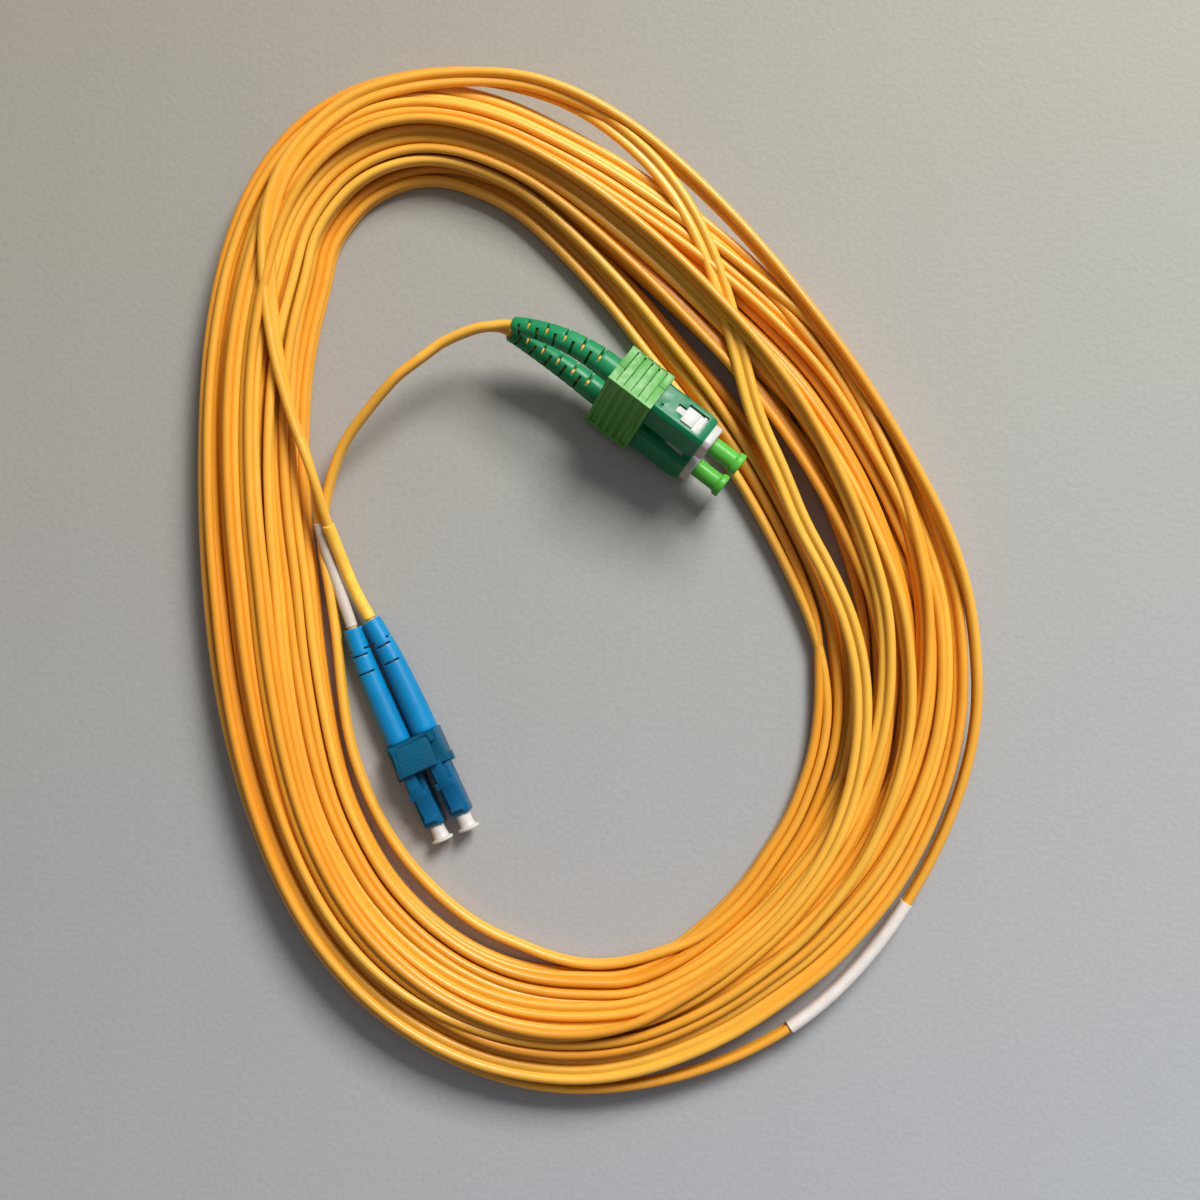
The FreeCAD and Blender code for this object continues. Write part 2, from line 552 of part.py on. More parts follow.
def lc_connector(y):
    outward = 1 if y > 0 else -1
    half = LC_HOUSING / 2
    housing = chamfered_bar(LC_HOUSING_BACK, 0, y, (LC_HOUSING, LC_HOUSING), LC_HOUSING_CHAMFER)
    root_x, root_z = LC_LATCH_ROOT
    latch_half, latch_half_thick = LC_LATCH_HALF
    housing = housing.fuse(block(root_x - 0.8, root_x + 0.8, y - latch_half, y + latch_half,
                                 half - BITE, root_z - 0.4))
    cradle = Part.makeCylinder(LC_HINGE_PIN + SLIDING, 4, V(root_x, y - 2, root_z), V(0, 1, 0))
    housing = housing.cut(cradle)
    housing = housing.cut(rod(LC_BORE, LC_HOUSING_BACK - 1, LC_WEB[0], y))
    housing = housing.cut(rod(LC_WEB_HOLE, LC_WEB[0] - 1, LC_WEB[1] + 1, y))
    housing = housing.cut(rod(LC_NOSE_BORE, LC_WEB[1], 1, y))
    flank = y + outward * half
    vent = Part.makeCylinder(0.6, 1.2, V(LC_HOUSING_BACK + 4, flank - 0.6, 0), V(0, 1, 0))
    housing = housing.cut(vent)

    tail_x, tail_z = LC_LATCH_TAIL
    slope = math.atan2(tail_z - root_z, root_x - tail_x)
    length = math.hypot(tail_x - root_x, tail_z - root_z)
    catch_back, catch_front = LC_LATCH_CATCH
    latch = block(-length, 0, -latch_half, latch_half, -latch_half_thick, latch_half_thick)
    latch = latch.fuse(block(catch_back, catch_front, -latch_half, latch_half,
                             -latch_half_thick - 0.5, latch_half_thick))
    latch = latch.fuse(block(catch_back, catch_front, -LC_LATCH_CATCH_HALF, LC_LATCH_CATCH_HALF,
                             -latch_half_thick - BITE, latch_half_thick - BITE))
    latch = latch.fuse(Part.makeCylinder(LC_HINGE_PIN, 2 * latch_half, V(0, -latch_half, 0), V(0, 1, 0)))
    latch.Placement = FreeCAD.Placement(V(root_x, y, root_z),
                                        FreeCAD.Rotation(V(0, 1, 0), math.degrees(slope)))

    ferrule = rod(LC_FERRULE, LC_FERRULE_BACK, LC_FERRULE_TIP, y)
    flange_front = LC_WEB[0] - FACING
    flange_back = flange_front - LC_FLANGE_LENGTH
    flange = rod(LC_FLANGE, flange_back, flange_front, y)
    flange = flange.cut(rod(LC_FERRULE, LC_FERRULE_BACK, flange_front + 1, y))
    flange = flange.cut(rod(FIBRE_RADIUS, flange_back - 1, LC_FERRULE_BACK + BITE, y))
    fibre = rod(FIBRE_RADIUS, LC_NECK_BACK - 2, LC_FERRULE_BACK, y)
    spring = coil_spring(y, flange_back - FACING, LC_SPRING_BACK + FACING, **LC_SPRING)

    collar_back = LC_HOUSING_BACK - LC_COLLAR_LENGTH
    rear = rod(LC_BORE, LC_HOUSING_BACK, LC_SPRING_BACK, y)
    rear = rear.fuse(rod(LC_COLLAR, collar_back, LC_HOUSING_BACK, y))
    rear = rear.fuse(rod(LC_SHANK, LC_SHANK_BACK, collar_back, y))
    rear = rear.fuse(rod(LC_NECK, LC_NECK_BACK, LC_SHANK_BACK, y))
    rear = rear.cut(rod(FIBRE_HOLE, LC_NECK_BACK - 1, LC_SPRING_BACK + 1, y))
    crimp = crimp_sleeve(y, LC_NECK, LC_CRIMP_WALL, LC_CRIMP_TAIL, LC_SHANK_BACK - 0.3, LC_NECK_BACK)

    path = boot_path(y, LC_BOOT_FRONT, LC_BOOT_BEND, LC_BOOT_ARC, LC_BOOT_ARC_LENGTH, LC_BOOT_SWAY_DEG)
    boot = tapered_sweep(path, LC_BOOT_RADII)
    boot = boot.cut(rod(LC_NECK + LC_CRIMP_WALL + BITE, LC_NECK_BACK - 0.3, LC_BOOT_FRONT + 1, y))
    arc_bore = sweep(path[1:], round_section(*path_start(path[1:]), LEG_RADIUS + LEG_ROOM))
    boot = boot.cut(arc_bore.fuse(rod(LC_CRIMP_TAIL + BITE, LC_BOOT_BEND - 0.6, LC_NECK_BACK, y)))
    boot = boot.cut(boot_slots(y, LC_BOOT_BEND, LC_BOOT_ARC, LC_BOOT_ARC_LENGTH, LC_BOOT_SWAY_DEG,
                               LC_BOOT_RADII, LC_BOOT_STATIONS, LC_BOOT_SLOT, LC_BOOT_FRONT))
    cap = dust_cap(y, LC_CAP_ENDS, LC_CAP_BODY, LC_CAP_RIM, LC_CAP_RIM_LENGTH,
                   LC_FERRULE + RUNNING, LC_CAP_FLOOR)
    name = "b" if y > 0 else "a"
    return {
        f"lc_housing_{name}": housing,
        f"lc_latch_{name}": latch,
        f"lc_ferrule_{name}": ferrule,
        f"lc_flange_{name}": flange,
        f"lc_spring_{name}": spring,
        f"lc_rear_body_{name}": rear,
        f"lc_crimp_{name}": crimp,
        f"lc_boot_{name}": boot,
        f"lc_cap_{name}": cap,
        f"lc_fibre_{name}": fibre,
    }


def lc_clip_parts():
    half = LC_CLIP_WIDTH / 2
    bottom, top = LC_CLIP_HEIGHTS
    hinge_x, hinge_z = LC_HINGE
    ear_half_x, ear_half_y = LC_EAR_HALF
    body = chamfered_bar(LC_BOOT_FRONT, LC_CLIP_FRONT, 0, (LC_CLIP_WIDTH, top - bottom), LC_CLIP_CHAMFER)
    body.translate(V(0, 0, (top + bottom) / 2))
    for sign in (-1, 1):
        body = body.fuse(block(LC_CLIP_FRONT - 1.5, LC_CLIP_FRONT + 0.5, sign * half - 0.5, sign * half + 0.5,
                               -1.0, 1.0))
        ear_y = sign * LC_EAR_Y
        body = body.fuse(block(hinge_x - ear_half_x, hinge_x + ear_half_x, ear_y - ear_half_y,
                               ear_y + ear_half_y, top - 0.3, hinge_z + 0.7))
    side = LC_HOUSING + 2 * RUNNING
    for y in (-LC_PITCH / 2, LC_PITCH / 2):
        body = body.cut(chamfered_bar(LC_HOUSING_BACK - FACING, LC_CLIP_FRONT + 1, y, (side, side),
                                      LC_HOUSING_CHAMFER))
        body = body.cut(rod(LC_COLLAR + SLIDING, LC_HOUSING_BACK - LC_COLLAR_LENGTH - BITE,
                            LC_HOUSING_BACK, y))
        body = body.cut(rod(LC_SHANK + SLIDING, LC_BOOT_FRONT - 1, LC_HOUSING_BACK - 1, y))
    pin_hole = Part.makeCylinder(LC_HINGE_PIN + SLIDING, 12, V(hinge_x, -6, hinge_z), V(0, 1, 0))
    body = body.cut(pin_hole)

    plate_half, plate_half_thick = LC_TRIGGER_HALF
    tip_x, tip_z = LC_TRIGGER_TIP
    slope = math.degrees(math.atan2(tip_z - hinge_z, tip_x - hinge_x))
    length = math.hypot(tip_x - hinge_x, tip_z - hinge_z)
    trigger = block(0, length, -plate_half, plate_half, -plate_half_thick, plate_half_thick)
    for index in range(LC_TRIGGER_RIBS):
        x = length - (index + 1) * LC_TRIGGER_RIB_PITCH
        trigger = trigger.fuse(block(x, x + 0.4, 0.6 - plate_half, plate_half - 0.6,
                                     plate_half_thick - 0.05, plate_half_thick + 0.25))
    pin_half = LC_EAR_Y + 0.4
    trigger = trigger.fuse(Part.makeCylinder(LC_HINGE_PIN, 2 * pin_half, V(0, -pin_half, 0), V(0, 1, 0)))
    trigger.Placement = FreeCAD.Placement(V(hinge_x, 0, hinge_z), FreeCAD.Rotation(V(0, 1, 0), -slope))
    return {"lc_clip": body, "lc_trigger": trigger}


# Both plugs in their places

sc_across = V(SC_STACK)
sc_normal = V(SC_FORWARD).cross(SC_STACK).normalize()
sc_clip_height = (SC_CLIP[0] / 2) * sc_across.z + (SC_CLIP[1] / 2 - SC_CLIP_CHAMFER) * sc_normal.z
sc_origin = SC_CLIP_PLACE + V(0, 0, sc_clip_height) - V(SC_FORWARD).normalize() * SC_CLIP_MIDDLE_X
sc_place = plug_placement(SC_FORWARD, SC_STACK, sc_origin)

roll = math.radians(LC_ROLL_DEG)
lc_level = UP.cross(LC_FORWARD).normalize()
lc_across = lc_level * math.cos(roll) + UP * math.sin(roll)
lc_height = (LC_CLIP_WIDTH / 2 - LC_CLIP_CHAMFER) * math.sin(roll) - LC_CLIP_HEIGHTS[0] * math.cos(roll)
lc_origin = LC_NOSE_PLACE + V(0, 0, lc_height)
lc_place = plug_placement(LC_FORWARD, lc_across, lc_origin)

plugs = {}
for place, solids in (
    (sc_place, [sc_connector(-SC_PITCH / 2), sc_connector(SC_PITCH / 2), sc_clip_halves()]),
    (lc_place, [lc_connector(-LC_PITCH / 2), lc_connector(LC_PITCH / 2), lc_clip_parts()]),
):
    for group in solids:
        for name, solid in group.items():
            solid.Placement = place.multiply(solid.Placement)
            plugs[name] = solid


# Cord between the SC boots and the coil

def flat_direction(vector):
    return V(vector.x, vector.y, 0).normalize()


def placed(edges, placement):
    moved = []
    for edge in edges:
        edge.Placement = placement.multiply(edge.Placement)
        moved.append(edge)
    return moved


def bored_leg(edges, neck, inward):
    leg = leg_sweep(edges)
    bore = Part.makeCylinder(LEG_BORE, LEG_BORE_DEPTH, neck, inward)
    return leg.cut(bore)


sc_backward = V(SC_FORWARD).normalize() * -1
sc_tip_angle = SC_BOOT_ARC_LENGTH / SC_BOOT_ARC
sc_tips = {}
for sign in (-1, 1):
    y = sign * SC_PITCH / 2
    tip = boot_point(y, SC_BOOT_BEND, SC_BOOT_ARC, SC_BOOT_SWAY_DEG, sc_tip_angle)
    tangent = V(-math.cos(sc_tip_angle), 0, 0)
    tangent += bend_direction(y, SC_BOOT_SWAY_DEG) * math.sin(sc_tip_angle)
    sc_tips[sign] = (sc_place.multVec(tip), sc_place.Rotation.multVec(tangent))
SC_MERGE_STEP = V(-4.05, 0.5, 0.25)
SC_LEAVING = V(-0.995, -0.10, 0)
SC_LEAVING_REACH = 3.5
sc_merge = (sc_tips[-1][0] + sc_tips[1][0]) * 0.5 + SC_MERGE_STEP
# The legs and the tail meet level and in one line, so that their end faces match
SC_SPLIT_Z = 12.7
SC_LEG_POINTS = [
    sc_merge + SC_LEAVING * SC_LEAVING_REACH,
    V(-33.0, 54.4, SC_SPLIT_Z),
    V(-38.1, 50.6, SC_SPLIT_Z),
]
SC_TAIL_POINTS = [
    V(-43.2, 46.8, SC_SPLIT_Z),
    V(-49.5, 40.0, 9.9),
    V(-56.2, 31.8, 6.5),
    V(-61.0, 22.2, 3.6),
]
SC_TAIL_RINGS = [
    (160, -0.05), (171, -0.06), (183, -0.07), (196, -0.08),
    (209, -0.09), (222, -0.10), (236, -0.10), (251, -0.07),
]

coil_path = coil_edges()
coil_start, coil_start_heading = path_start(coil_path)
coil_end = coil_path[-1].valueAt(coil_path[-1].LastParameter)
coil_end_heading = coil_path[-1].tangentAt(coil_path[-1].LastParameter)

sc_tail_points = [SC_LEG_POINTS[-1]] + SC_TAIL_POINTS
sc_tail_points += [ring_point(degrees, across, 0, CORD_REST_Z) for degrees, across in SC_TAIL_RINGS]
sc_tail_points += [coil_start - coil_start_heading * 10, coil_start]
sc_tail_path = rounded_route(sc_tail_points, "tail to the SC plug")

cords = {}
for name, sign in (("a", -1), ("b", 1)):
    y = sign * SC_PITCH / 2
    neck = V(SC_NECK_BACK, y, 0)
    path = boot_path(y, SC_NECK_BACK, SC_BOOT_BEND, SC_BOOT_ARC, SC_BOOT_ARC_LENGTH, SC_BOOT_SWAY_DEG)
    leaving = V(SC_LEAVING).normalize()
    rise = section_axes(leaving, UP)[1] * (sign * LEG_OFFSET)
    upright = section_axes(SC_LEG_POINTS[-1] - SC_LEG_POINTS[-2], UP)[1] * (sign * LEG_OFFSET)
    closing = biarc(*sc_tips[sign], sc_merge + rise, leaving)
    points = [sc_merge + rise, SC_LEG_POINTS[0] + rise]
    points += [point + upright for point in SC_LEG_POINTS[1:]]
    free = rounded_route(points, f"SC leg {name}")
    whole = placed(path, sc_place) + closing + free
    cords[f"sc_leg_{name}"] = (bored_leg(whole, sc_place.multVec(neck), sc_backward), whole)
cords["cord_sc_tail"] = (cord_sweep(sc_tail_path), sc_tail_path)

# Coil
coil = sweep(coil_path, twin_section(coil_start, coil_start_heading))
cords["cord_coil"] = (coil, coil_path)
print(f"coil: least gap to itself {coil_gap(coil_path):.2f} mm")

# Cord from the coil over the bundle, once round outside it, up again and to the LC split
OVER_Z = CORD_REST_Z + 2 * LAYER_PITCH + 0.05
CROSSING_RINGS = [
    (296, -0.08, 0, 8.3),
    (312, -0.08, 0, 9.9),
    (328, -0.06, 0, OVER_Z),
    (345, 0.08, 0, OVER_Z),
    (362, 0.30, 0, OVER_Z),
    (380, 0.52, 0, OVER_Z),
    (395, 0.74, 0, OVER_Z),
    (407, 0.92, 0, OVER_Z),
    (418, 1.0, 3.5, OVER_Z),
    (427, 1.0, 7.0, 10.4),
    (436, 1.0, 7.3, 7.2),
    (446, 1.0, 7.2, 3.9),
]
OUTSIDE_RINGS = [
    (96, 7.0), (108, 6.8), (120, 6.6), (134, 6.3), (150, 6.0), (166, 5.7), (182, 5.4),
    (198, 5.1), (214, 4.9), (230, 4.7), (246, 4.6), (260, 4.8), (275, 5.4), (301, 5.8),
    (327, 5.4), (345, 4.7), (361, 4.5), (377, 4.4), (393, 4.3), (408, 4.2),
]
CLIMB_RINGS = [
    (420, 1.0, 4.0, 2.4),
    (429, 1.0, 3.9, 5.6),
    (438, 1.0, 3.6, 9.2),
    (446, 1.0, 2.0, OVER_Z),
]
LABEL_RING = 13
LABEL_WALL = 0.35
LABEL_Z = CORD_REST_Z + LABEL_WALL + 0.15
LC_TAIL_POINTS = [
    V(-56.5, 102.5, OVER_Z),
    V(-66.0, 92.5, OVER_Z),
    V(-70.3, 80.5, OVER_Z),
    V(-70.6, 66.5, OVER_Z),
    V(-69.0, 53.4, OVER_Z),
    V(-66.5, 42.2, OVER_Z),
]
LC_SPLIT = V(-63.3, 33.8, OVER_Z)

lc_tail_points = [coil_end, coil_end + coil_end_heading * 12]
lc_tail_points += [ring_point(*ring) for ring in CROSSING_RINGS]
label_corner = len(lc_tail_points) + LABEL_RING
for index, (degrees, outward) in enumerate(OUTSIDE_RINGS):
    z = LABEL_Z if abs(index - LABEL_RING) <= 1 else CORD_REST_Z
    lc_tail_points.append(ring_point(degrees, 1.0, outward, z))
lc_tail_points += [ring_point(*ring) for ring in CLIMB_RINGS] + LC_TAIL_POINTS + [LC_SPLIT]
lc_tail_path = rounded_route(lc_tail_points, "tail to the LC plug")
cords["cord_lc_tail"] = (cord_sweep(lc_tail_path), lc_tail_path)

label_path = lc_tail_path[2 * label_corner - 2:2 * label_corner + 1]
label_centre, label_heading = path_start(label_path)
label = sweep(label_path, stadium_section(label_centre, label_heading, LABEL_WALL), upright=True)
label_bore = sweep(label_path, stadium_section(label_centre, label_heading, SLIDING), upright=True)
sleeves = {"label_sleeve": label.cut(label_bore)}

# LC legs with their heat-shrink sleeves
SHRINK_RADIUS = 1.3
SHRINK_EDGES = 5
LC_LEG_ROUTES = {
    "a": [(-58.8, 9.9, 4.4), (-60.4, 17.6, 7.0)],
    "b": [(-56.2, 10.6, 5.2), (-58.4, 17.4, 8.9)],
}
split_heading = flat_direction(LC_TAIL_POINTS[-1] - LC_SPLIT)
for name, sign in (("a", -1), ("b", 1)):
    y = sign * LC_PITCH / 2
    neck = V(LC_NECK_BACK, y, 0)
    path = boot_path(y, LC_NECK_BACK, LC_BOOT_BEND, LC_BOOT_ARC, LC_BOOT_ARC_LENGTH, LC_BOOT_SWAY_DEG)
    inside = placed(path, lc_place)
    tip = inside[-1].valueAt(inside[-1].LastParameter)
    heading = inside[-1].tangentAt(inside[-1].LastParameter)
    end = LC_SPLIT + UP * (sign * LEG_OFFSET)
    points = [tip, tip + heading * 8] + [V(*point) for point in LC_LEG_ROUTES[name]]
    points += [end - split_heading * 8, end]
    free = rounded_route(points, f"LC leg {name}")
    whole = inside + free
    backward = V(LC_FORWARD).normalize() * -1
    cords[f"lc_leg_{name}"] = (bored_leg(whole, lc_place.multVec(neck), backward), whole)
    shrink_path = free[:SHRINK_EDGES]
    start, toward = path_start(shrink_path)
    shrink = sweep(shrink_path, round_section(start, toward, SHRINK_RADIUS))
    bore = sweep(shrink_path, round_section(start, toward, LEG_RADIUS + SLIDING))
    sleeves[f"heat_shrink_{name}"] = shrink.cut(bore)

# Report of what was built, then the files
box = FreeCAD.BoundBox()
for solid in plugs.values():
    box.add(solid.optimalBoundingBox(False, False))
print(f"plugs: x {box.XMin:.3f} {box.XMax:.3f} y {box.YMin:.3f} {box.YMax:.3f}")
print(f"plugs: z {box.ZMin:.3f} {box.ZMax:.3f}")
print(f"middle of the plugs {(box.XMin + box.XMax) / 2:.3f} {(box.YMin + box.YMax) / 2:.3f}")
for name, (solid, edges) in cords.items():
    area = solid.Volume / path_length(edges)
    print(f"{name}: length {path_length(edges):.1f} mm, volume over length {area:.3f} mm2, "
          f"valid {solid.isValid()}")

os.makedirs("parts", exist_ok=True)
shift = LAYOUT_MIDDLE * -1
nodes = dict(plugs)
nodes.update({name: solid for name, (solid, edges) in cords.items()})
nodes.update(sleeves)
for name, solid in nodes.items():
    solid.translated(shift).exportStep(f"parts/{name}.step")
    if not solid.isValid() or len(solid.Solids) != 1:
        print(f"{name}: valid {solid.isValid()}, solids {len(solid.Solids)}")
print(f"{len(nodes)} nodes")
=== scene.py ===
import math

import bmesh
import bpy
import numpy as np
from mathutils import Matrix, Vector


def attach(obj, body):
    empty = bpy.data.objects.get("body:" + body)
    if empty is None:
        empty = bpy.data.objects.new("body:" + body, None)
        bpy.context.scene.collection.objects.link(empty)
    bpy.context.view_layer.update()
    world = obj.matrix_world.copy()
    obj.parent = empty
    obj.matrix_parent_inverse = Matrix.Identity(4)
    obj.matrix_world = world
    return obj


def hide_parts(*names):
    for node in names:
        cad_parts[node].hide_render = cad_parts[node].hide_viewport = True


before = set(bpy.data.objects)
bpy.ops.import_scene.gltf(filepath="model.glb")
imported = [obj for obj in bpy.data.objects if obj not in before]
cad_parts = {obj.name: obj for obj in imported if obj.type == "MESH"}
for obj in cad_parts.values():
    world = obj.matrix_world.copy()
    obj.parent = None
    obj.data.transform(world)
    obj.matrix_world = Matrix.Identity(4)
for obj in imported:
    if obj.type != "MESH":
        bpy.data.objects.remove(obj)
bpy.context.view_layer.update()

# The cord's route: 15 m of yellow twin cord wound by hand into an egg-shaped coil of 27 turns.
# Places are in millimetres, as an angle round the coil's inner egg, a distance out from it and a
# height, and the turns are settled under their own weight, each on the ones wound before it.
MM = 0.001
EGG_CENTRE = (-1.127, -0.566)
EGG_HALF_WIDTH = 51.84
EGG_HALF_LENGTH = 86.32
EGG_NARROWING = -0.159
EGG_TILT = 0.341
EGG_BULGE = (1.18, -6.11)


def egg_points(degrees):
    angle = np.radians(degrees)
    x = EGG_HALF_WIDTH * np.cos(angle) * (1 + EGG_NARROWING * np.sin(angle))
    x = x + EGG_BULGE[0] * np.cos(2 * angle)
    y = EGG_HALF_LENGTH * np.sin(angle) + EGG_BULGE[1] * np.cos(2 * angle)
    cos_tilt, sin_tilt = math.cos(EGG_TILT), math.sin(EGG_TILT)
    return np.stack([EGG_CENTRE[0] + cos_tilt * x - sin_tilt * y,
                     EGG_CENTRE[1] + sin_tilt * x + cos_tilt * y], -1)


def egg_normals(degrees):
    ahead = egg_points(degrees + 0.5) - egg_points(degrees - 0.5)
    ahead = ahead / np.linalg.norm(ahead, axis=-1, keepdims=True)
    return np.stack([ahead[..., 1], -ahead[..., 0]], -1)


LEG_RADIUS = 1.0
LEG_OFFSET = 1.05
REST_Z = LEG_RADIUS + LEG_OFFSET
COIL_TURNS = 27
STATIONS = 48
STATION_DEG = 360 / STATIONS
ROUTE_START_DEG = -202.5
COIL_START_DEG = -90.0
COIL_END_DEG = COIL_START_DEG + 360 * COIL_TURNS

# Inner and outer edge of the bundle of turns, every 15 degrees
BUNDLE_DEG = np.arange(0, 361, 15)
BUNDLE_INNER = [-1.5, -2.4, -2.4, 0.0, 2.7, 2.2, 0.4, 0.1, 0.5, 1.1, 1.0, 0.4,
                2.2, 4.6, 5.6, 5.8, 6.4, 6.6, 4.6, 1.6, -1.1, -1.4, -0.3, 0.5, -1.5]
BUNDLE_OUTER = [31.0, 29.5, 26.4, 22.4, 19.0, 18.2, 18.8, 18.8, 18.2, 17.8, 17.5, 17.8,
                19.0, 20.3, 22.0, 23.3, 24.2, 24.5, 22.5, 21.2, 22.4, 25.0, 28.5, 31.0, 31.0]
# The end that comes from the SC split, inside the left of the coil: angle, distance
SC_RINGS = [(-202.5, -4.1), (-193, -5.3), (-187, -4.9), (-175.5, -2.6), (-171, -1.6),
            (-156.5, -1.3), (-140, -1.8), (-119.5, -0.6), (-102.5, 3.4)]
# The end that goes to the LC split, in degrees after 270 at the coil's end: over the turns on the
# right, off them at the top, once round outside them, and over them again to the left
LC_RINGS = [(320, 8.0), (342, 8.0), (360, 4.6), (377, 7.4), (388, 16.5), (401.5, 25.4),
            (417, 27.6), (432, 24.2), (444, 20.8), (461, 20.2), (481, 19.6), (506, 19.3),
            (520, 20.1), (537, 21.5), (557, 22.8), (576, 24.9), (592, 26.0), (610, 28.3),
            (642, 29.6), (665, 28.5), (677, 29.8), (689.5, 32.4), (708, 33.4), (722, 31.0),
            (743, 29.2), (761, 29.2), (777, 28.6), (790, 25.0), (796, 21.5), (801, 19.6),
            (809, 18.3), (813.5, 16.8), (822.8, 15.2), (829.5, 13.9), (835, 11.7), (844, 7.8),
            (852.5, 4.5), (860, 1.3), (865.5, -2.1)]
SC_SPLIT = (-25.73, 47.45, 12.7)
LC_SPLIT = (-50.93, 30.65, 11.35)

route_end_deg = COIL_END_DEG + LC_RINGS[-1][0] - 270
station_count = int((route_end_deg - ROUTE_START_DEG) / STATION_DEG) + 1
station_deg = ROUTE_START_DEG + STATION_DEG * np.arange(station_count)
draw = np.random.default_rng(11)


def across_bundle(degrees, share):
    inner = np.interp(degrees % 360, BUNDLE_DEG, BUNDLE_INNER)
    outer = np.interp(degrees % 360, BUNDLE_DEG, BUNDLE_OUTER)
    return inner + share * (outer - inner)


# Each turn keeps its own place on the left and wanders to the next turn's place on the right. The
# first two and the last are set one by one, to meet the routes of the two ends.
SETTLED_FROM_DEG = 120
SETTLED_SPAN_DEG = 115
FIRST_PLACES = (0.03, -0.09)
LAST_PLACE = 0.3
WANDER_WAVES = (0.31, 0.57, 0.83)
WANDER_SHARE = 0.025
LOOSE_AFTER_DEG = 20
EDGE_SHARE = 0.02
INNERMOST_SHARE = -0.12
JOIN_DEG = 20
FIRST_JOIN_DEG = 40

places = (draw.permutation(COIL_TURNS + 2) + 0.5) / (COIL_TURNS + 2)
places[:2] = FIRST_PLACES
places[-1] = LAST_PLACE
share = np.zeros(station_count)
for index, degrees in enumerate(station_deg):
    turn, local = divmod(degrees - SETTLED_FROM_DEG + 360, 360)
    turn = min(max(int(turn), 0), COIL_TURNS + 1)
    after = min(turn + 1, COIL_TURNS + 1)
    drift = max(0, (local - SETTLED_SPAN_DEG) / (360 - SETTLED_SPAN_DEG))
    share[index] = places[turn] + (places[after] - places[turn]) * drift * drift * (3 - 2 * drift)
for waves in WANDER_WAVES:
    phase = draw.uniform(0, 2 * math.pi)
    share += WANDER_SHARE * np.sin(2 * math.pi * waves * station_deg / 360 + phase)
in_coil = (station_deg > COIL_START_DEG) & (station_deg < COIL_END_DEG)
for column in range(STATIONS):
    same = in_coil & (np.arange(station_count) % STATIONS == column)
    loose = (station_deg[column] - SETTLED_FROM_DEG) % 360 > SETTLED_SPAN_DEG + LOOSE_AFTER_DEG
    if loose:
        low, high = share[same].min(), share[same].max()
        share[same] = EDGE_SHARE + (1 - 2 * EDGE_SHARE) * (share[same] - low) / (high - low)
wanted = across_bundle(station_deg, np.clip(share, INNERMOST_SHARE, 1))

sc_deg, sc_across = zip(*SC_RINGS)
lc_deg, lc_across = zip(*LC_RINGS)
lc_deg = np.array(lc_deg) - 270 + COIL_END_DEG
on_sc = station_deg < sc_deg[-1]
on_lc = station_deg > lc_deg[0]
joining = (station_deg >= COIL_END_DEG - JOIN_DEG) & (station_deg <= lc_deg[0])
wanted[on_sc] = np.interp(station_deg[on_sc], sc_deg, sc_across)
wanted[on_lc] = np.interp(station_deg[on_lc], lc_deg, lc_across)
blend = (station_deg[joining] - COIL_END_DEG + JOIN_DEG) / (lc_deg[0] - COIL_END_DEG + JOIN_DEG)
wanted[joining] = wanted[joining] * (1 - blend) + lc_across[0] * blend
first_join = (station_deg >= sc_deg[-1]) & (station_deg < sc_deg[-1] + FIRST_JOIN_DEG)
blend = (station_deg[first_join] - sc_deg[-1]) / FIRST_JOIN_DEG
wanted[first_join] = sc_across[-1] * (1 - blend) + wanted[first_join] * blend

# Roll of the twin cord about its own line: 90 degrees stands on edge, 0 lies flat
ROLL_EVERY_DEG = 110
ROLL_SPREAD_DEG = 24
FLAT_SHARE = 0.16
FLAT_SPREAD_DEG = 12
ROLL_SMOOTHINGS = 6
LC_ROLLS = [(300, 60), (345, 10), (400, 0), (430, 30), (470, 90), (640, 90), (700, 90), (735, 70),
            (770, 60), (800, 20), (815, 5), (840, 10), (855, 60), (865.5, 90)]

roll_count = int((route_end_deg - ROUTE_START_DEG) / ROLL_EVERY_DEG) + 2
roll_marks = 90 + draw.normal(0, ROLL_SPREAD_DEG, roll_count)
flat_marks = draw.random(roll_count) < FLAT_SHARE
flat_count = flat_marks.sum()
roll_marks[flat_marks] = 180 * draw.integers(0, 2, flat_count) + draw.normal(0, FLAT_SPREAD_DEG, flat_count)
roll_marks[:3] = 90
roll = np.interp(station_deg, ROUTE_START_DEG + ROLL_EVERY_DEG * np.arange(roll_count), roll_marks)
lc_roll_deg, lc_rolls = zip(*LC_ROLLS)
roll[on_lc] = np.interp(station_deg[on_lc], np.array(lc_roll_deg) - 270 + COIL_END_DEG, lc_rolls)
for _ in range(ROLL_SMOOTHINGS):
    roll[1:-1] = 0.25 * roll[:-2] + 0.5 * roll[1:-1] + 0.25 * roll[2:]
roll = np.radians(roll)

# Settling: gravity, contact between the round legs of every two strands, stiffness along the cord,
# the floor, and the SC plug, which stands on edge beside the inner turns
SC_ORIGIN = np.array([32.804, 28.262, 12.436])
SC_FORWARD = np.array([0.796, -0.605, 0.0])
SC_STACK = np.array([0.210, 0.277, 0.937])
SC_BLOCKS = [(-23.4, -12.6, 11.75, 4.6), (-22.5, 0.0, 10.85, 3.7), (0.0, 9.1, 8.95, 2.6)]
PLUG_AT_DEG = 25
PLUG_SPAN_DEG = 75
PLUG_REACH = 2
PLUG_ROOM = 1.7
PLUG_PUSH = 0.6
SETTLE_STEPS = 420
CONTACT = 2 * LEG_RADIUS + 0.04
DEEPEST_CONTACT = 1.2
FALL = 0.10
LEAST_FALL = 0.01
PUSH_ACROSS = 0.22
PUSH_UP = 0.26
EVEN_ACROSS = 0.22
EVEN_UP = 0.20
FREE_PULL = 0.02
FOLLOWED_PULL = 0.12
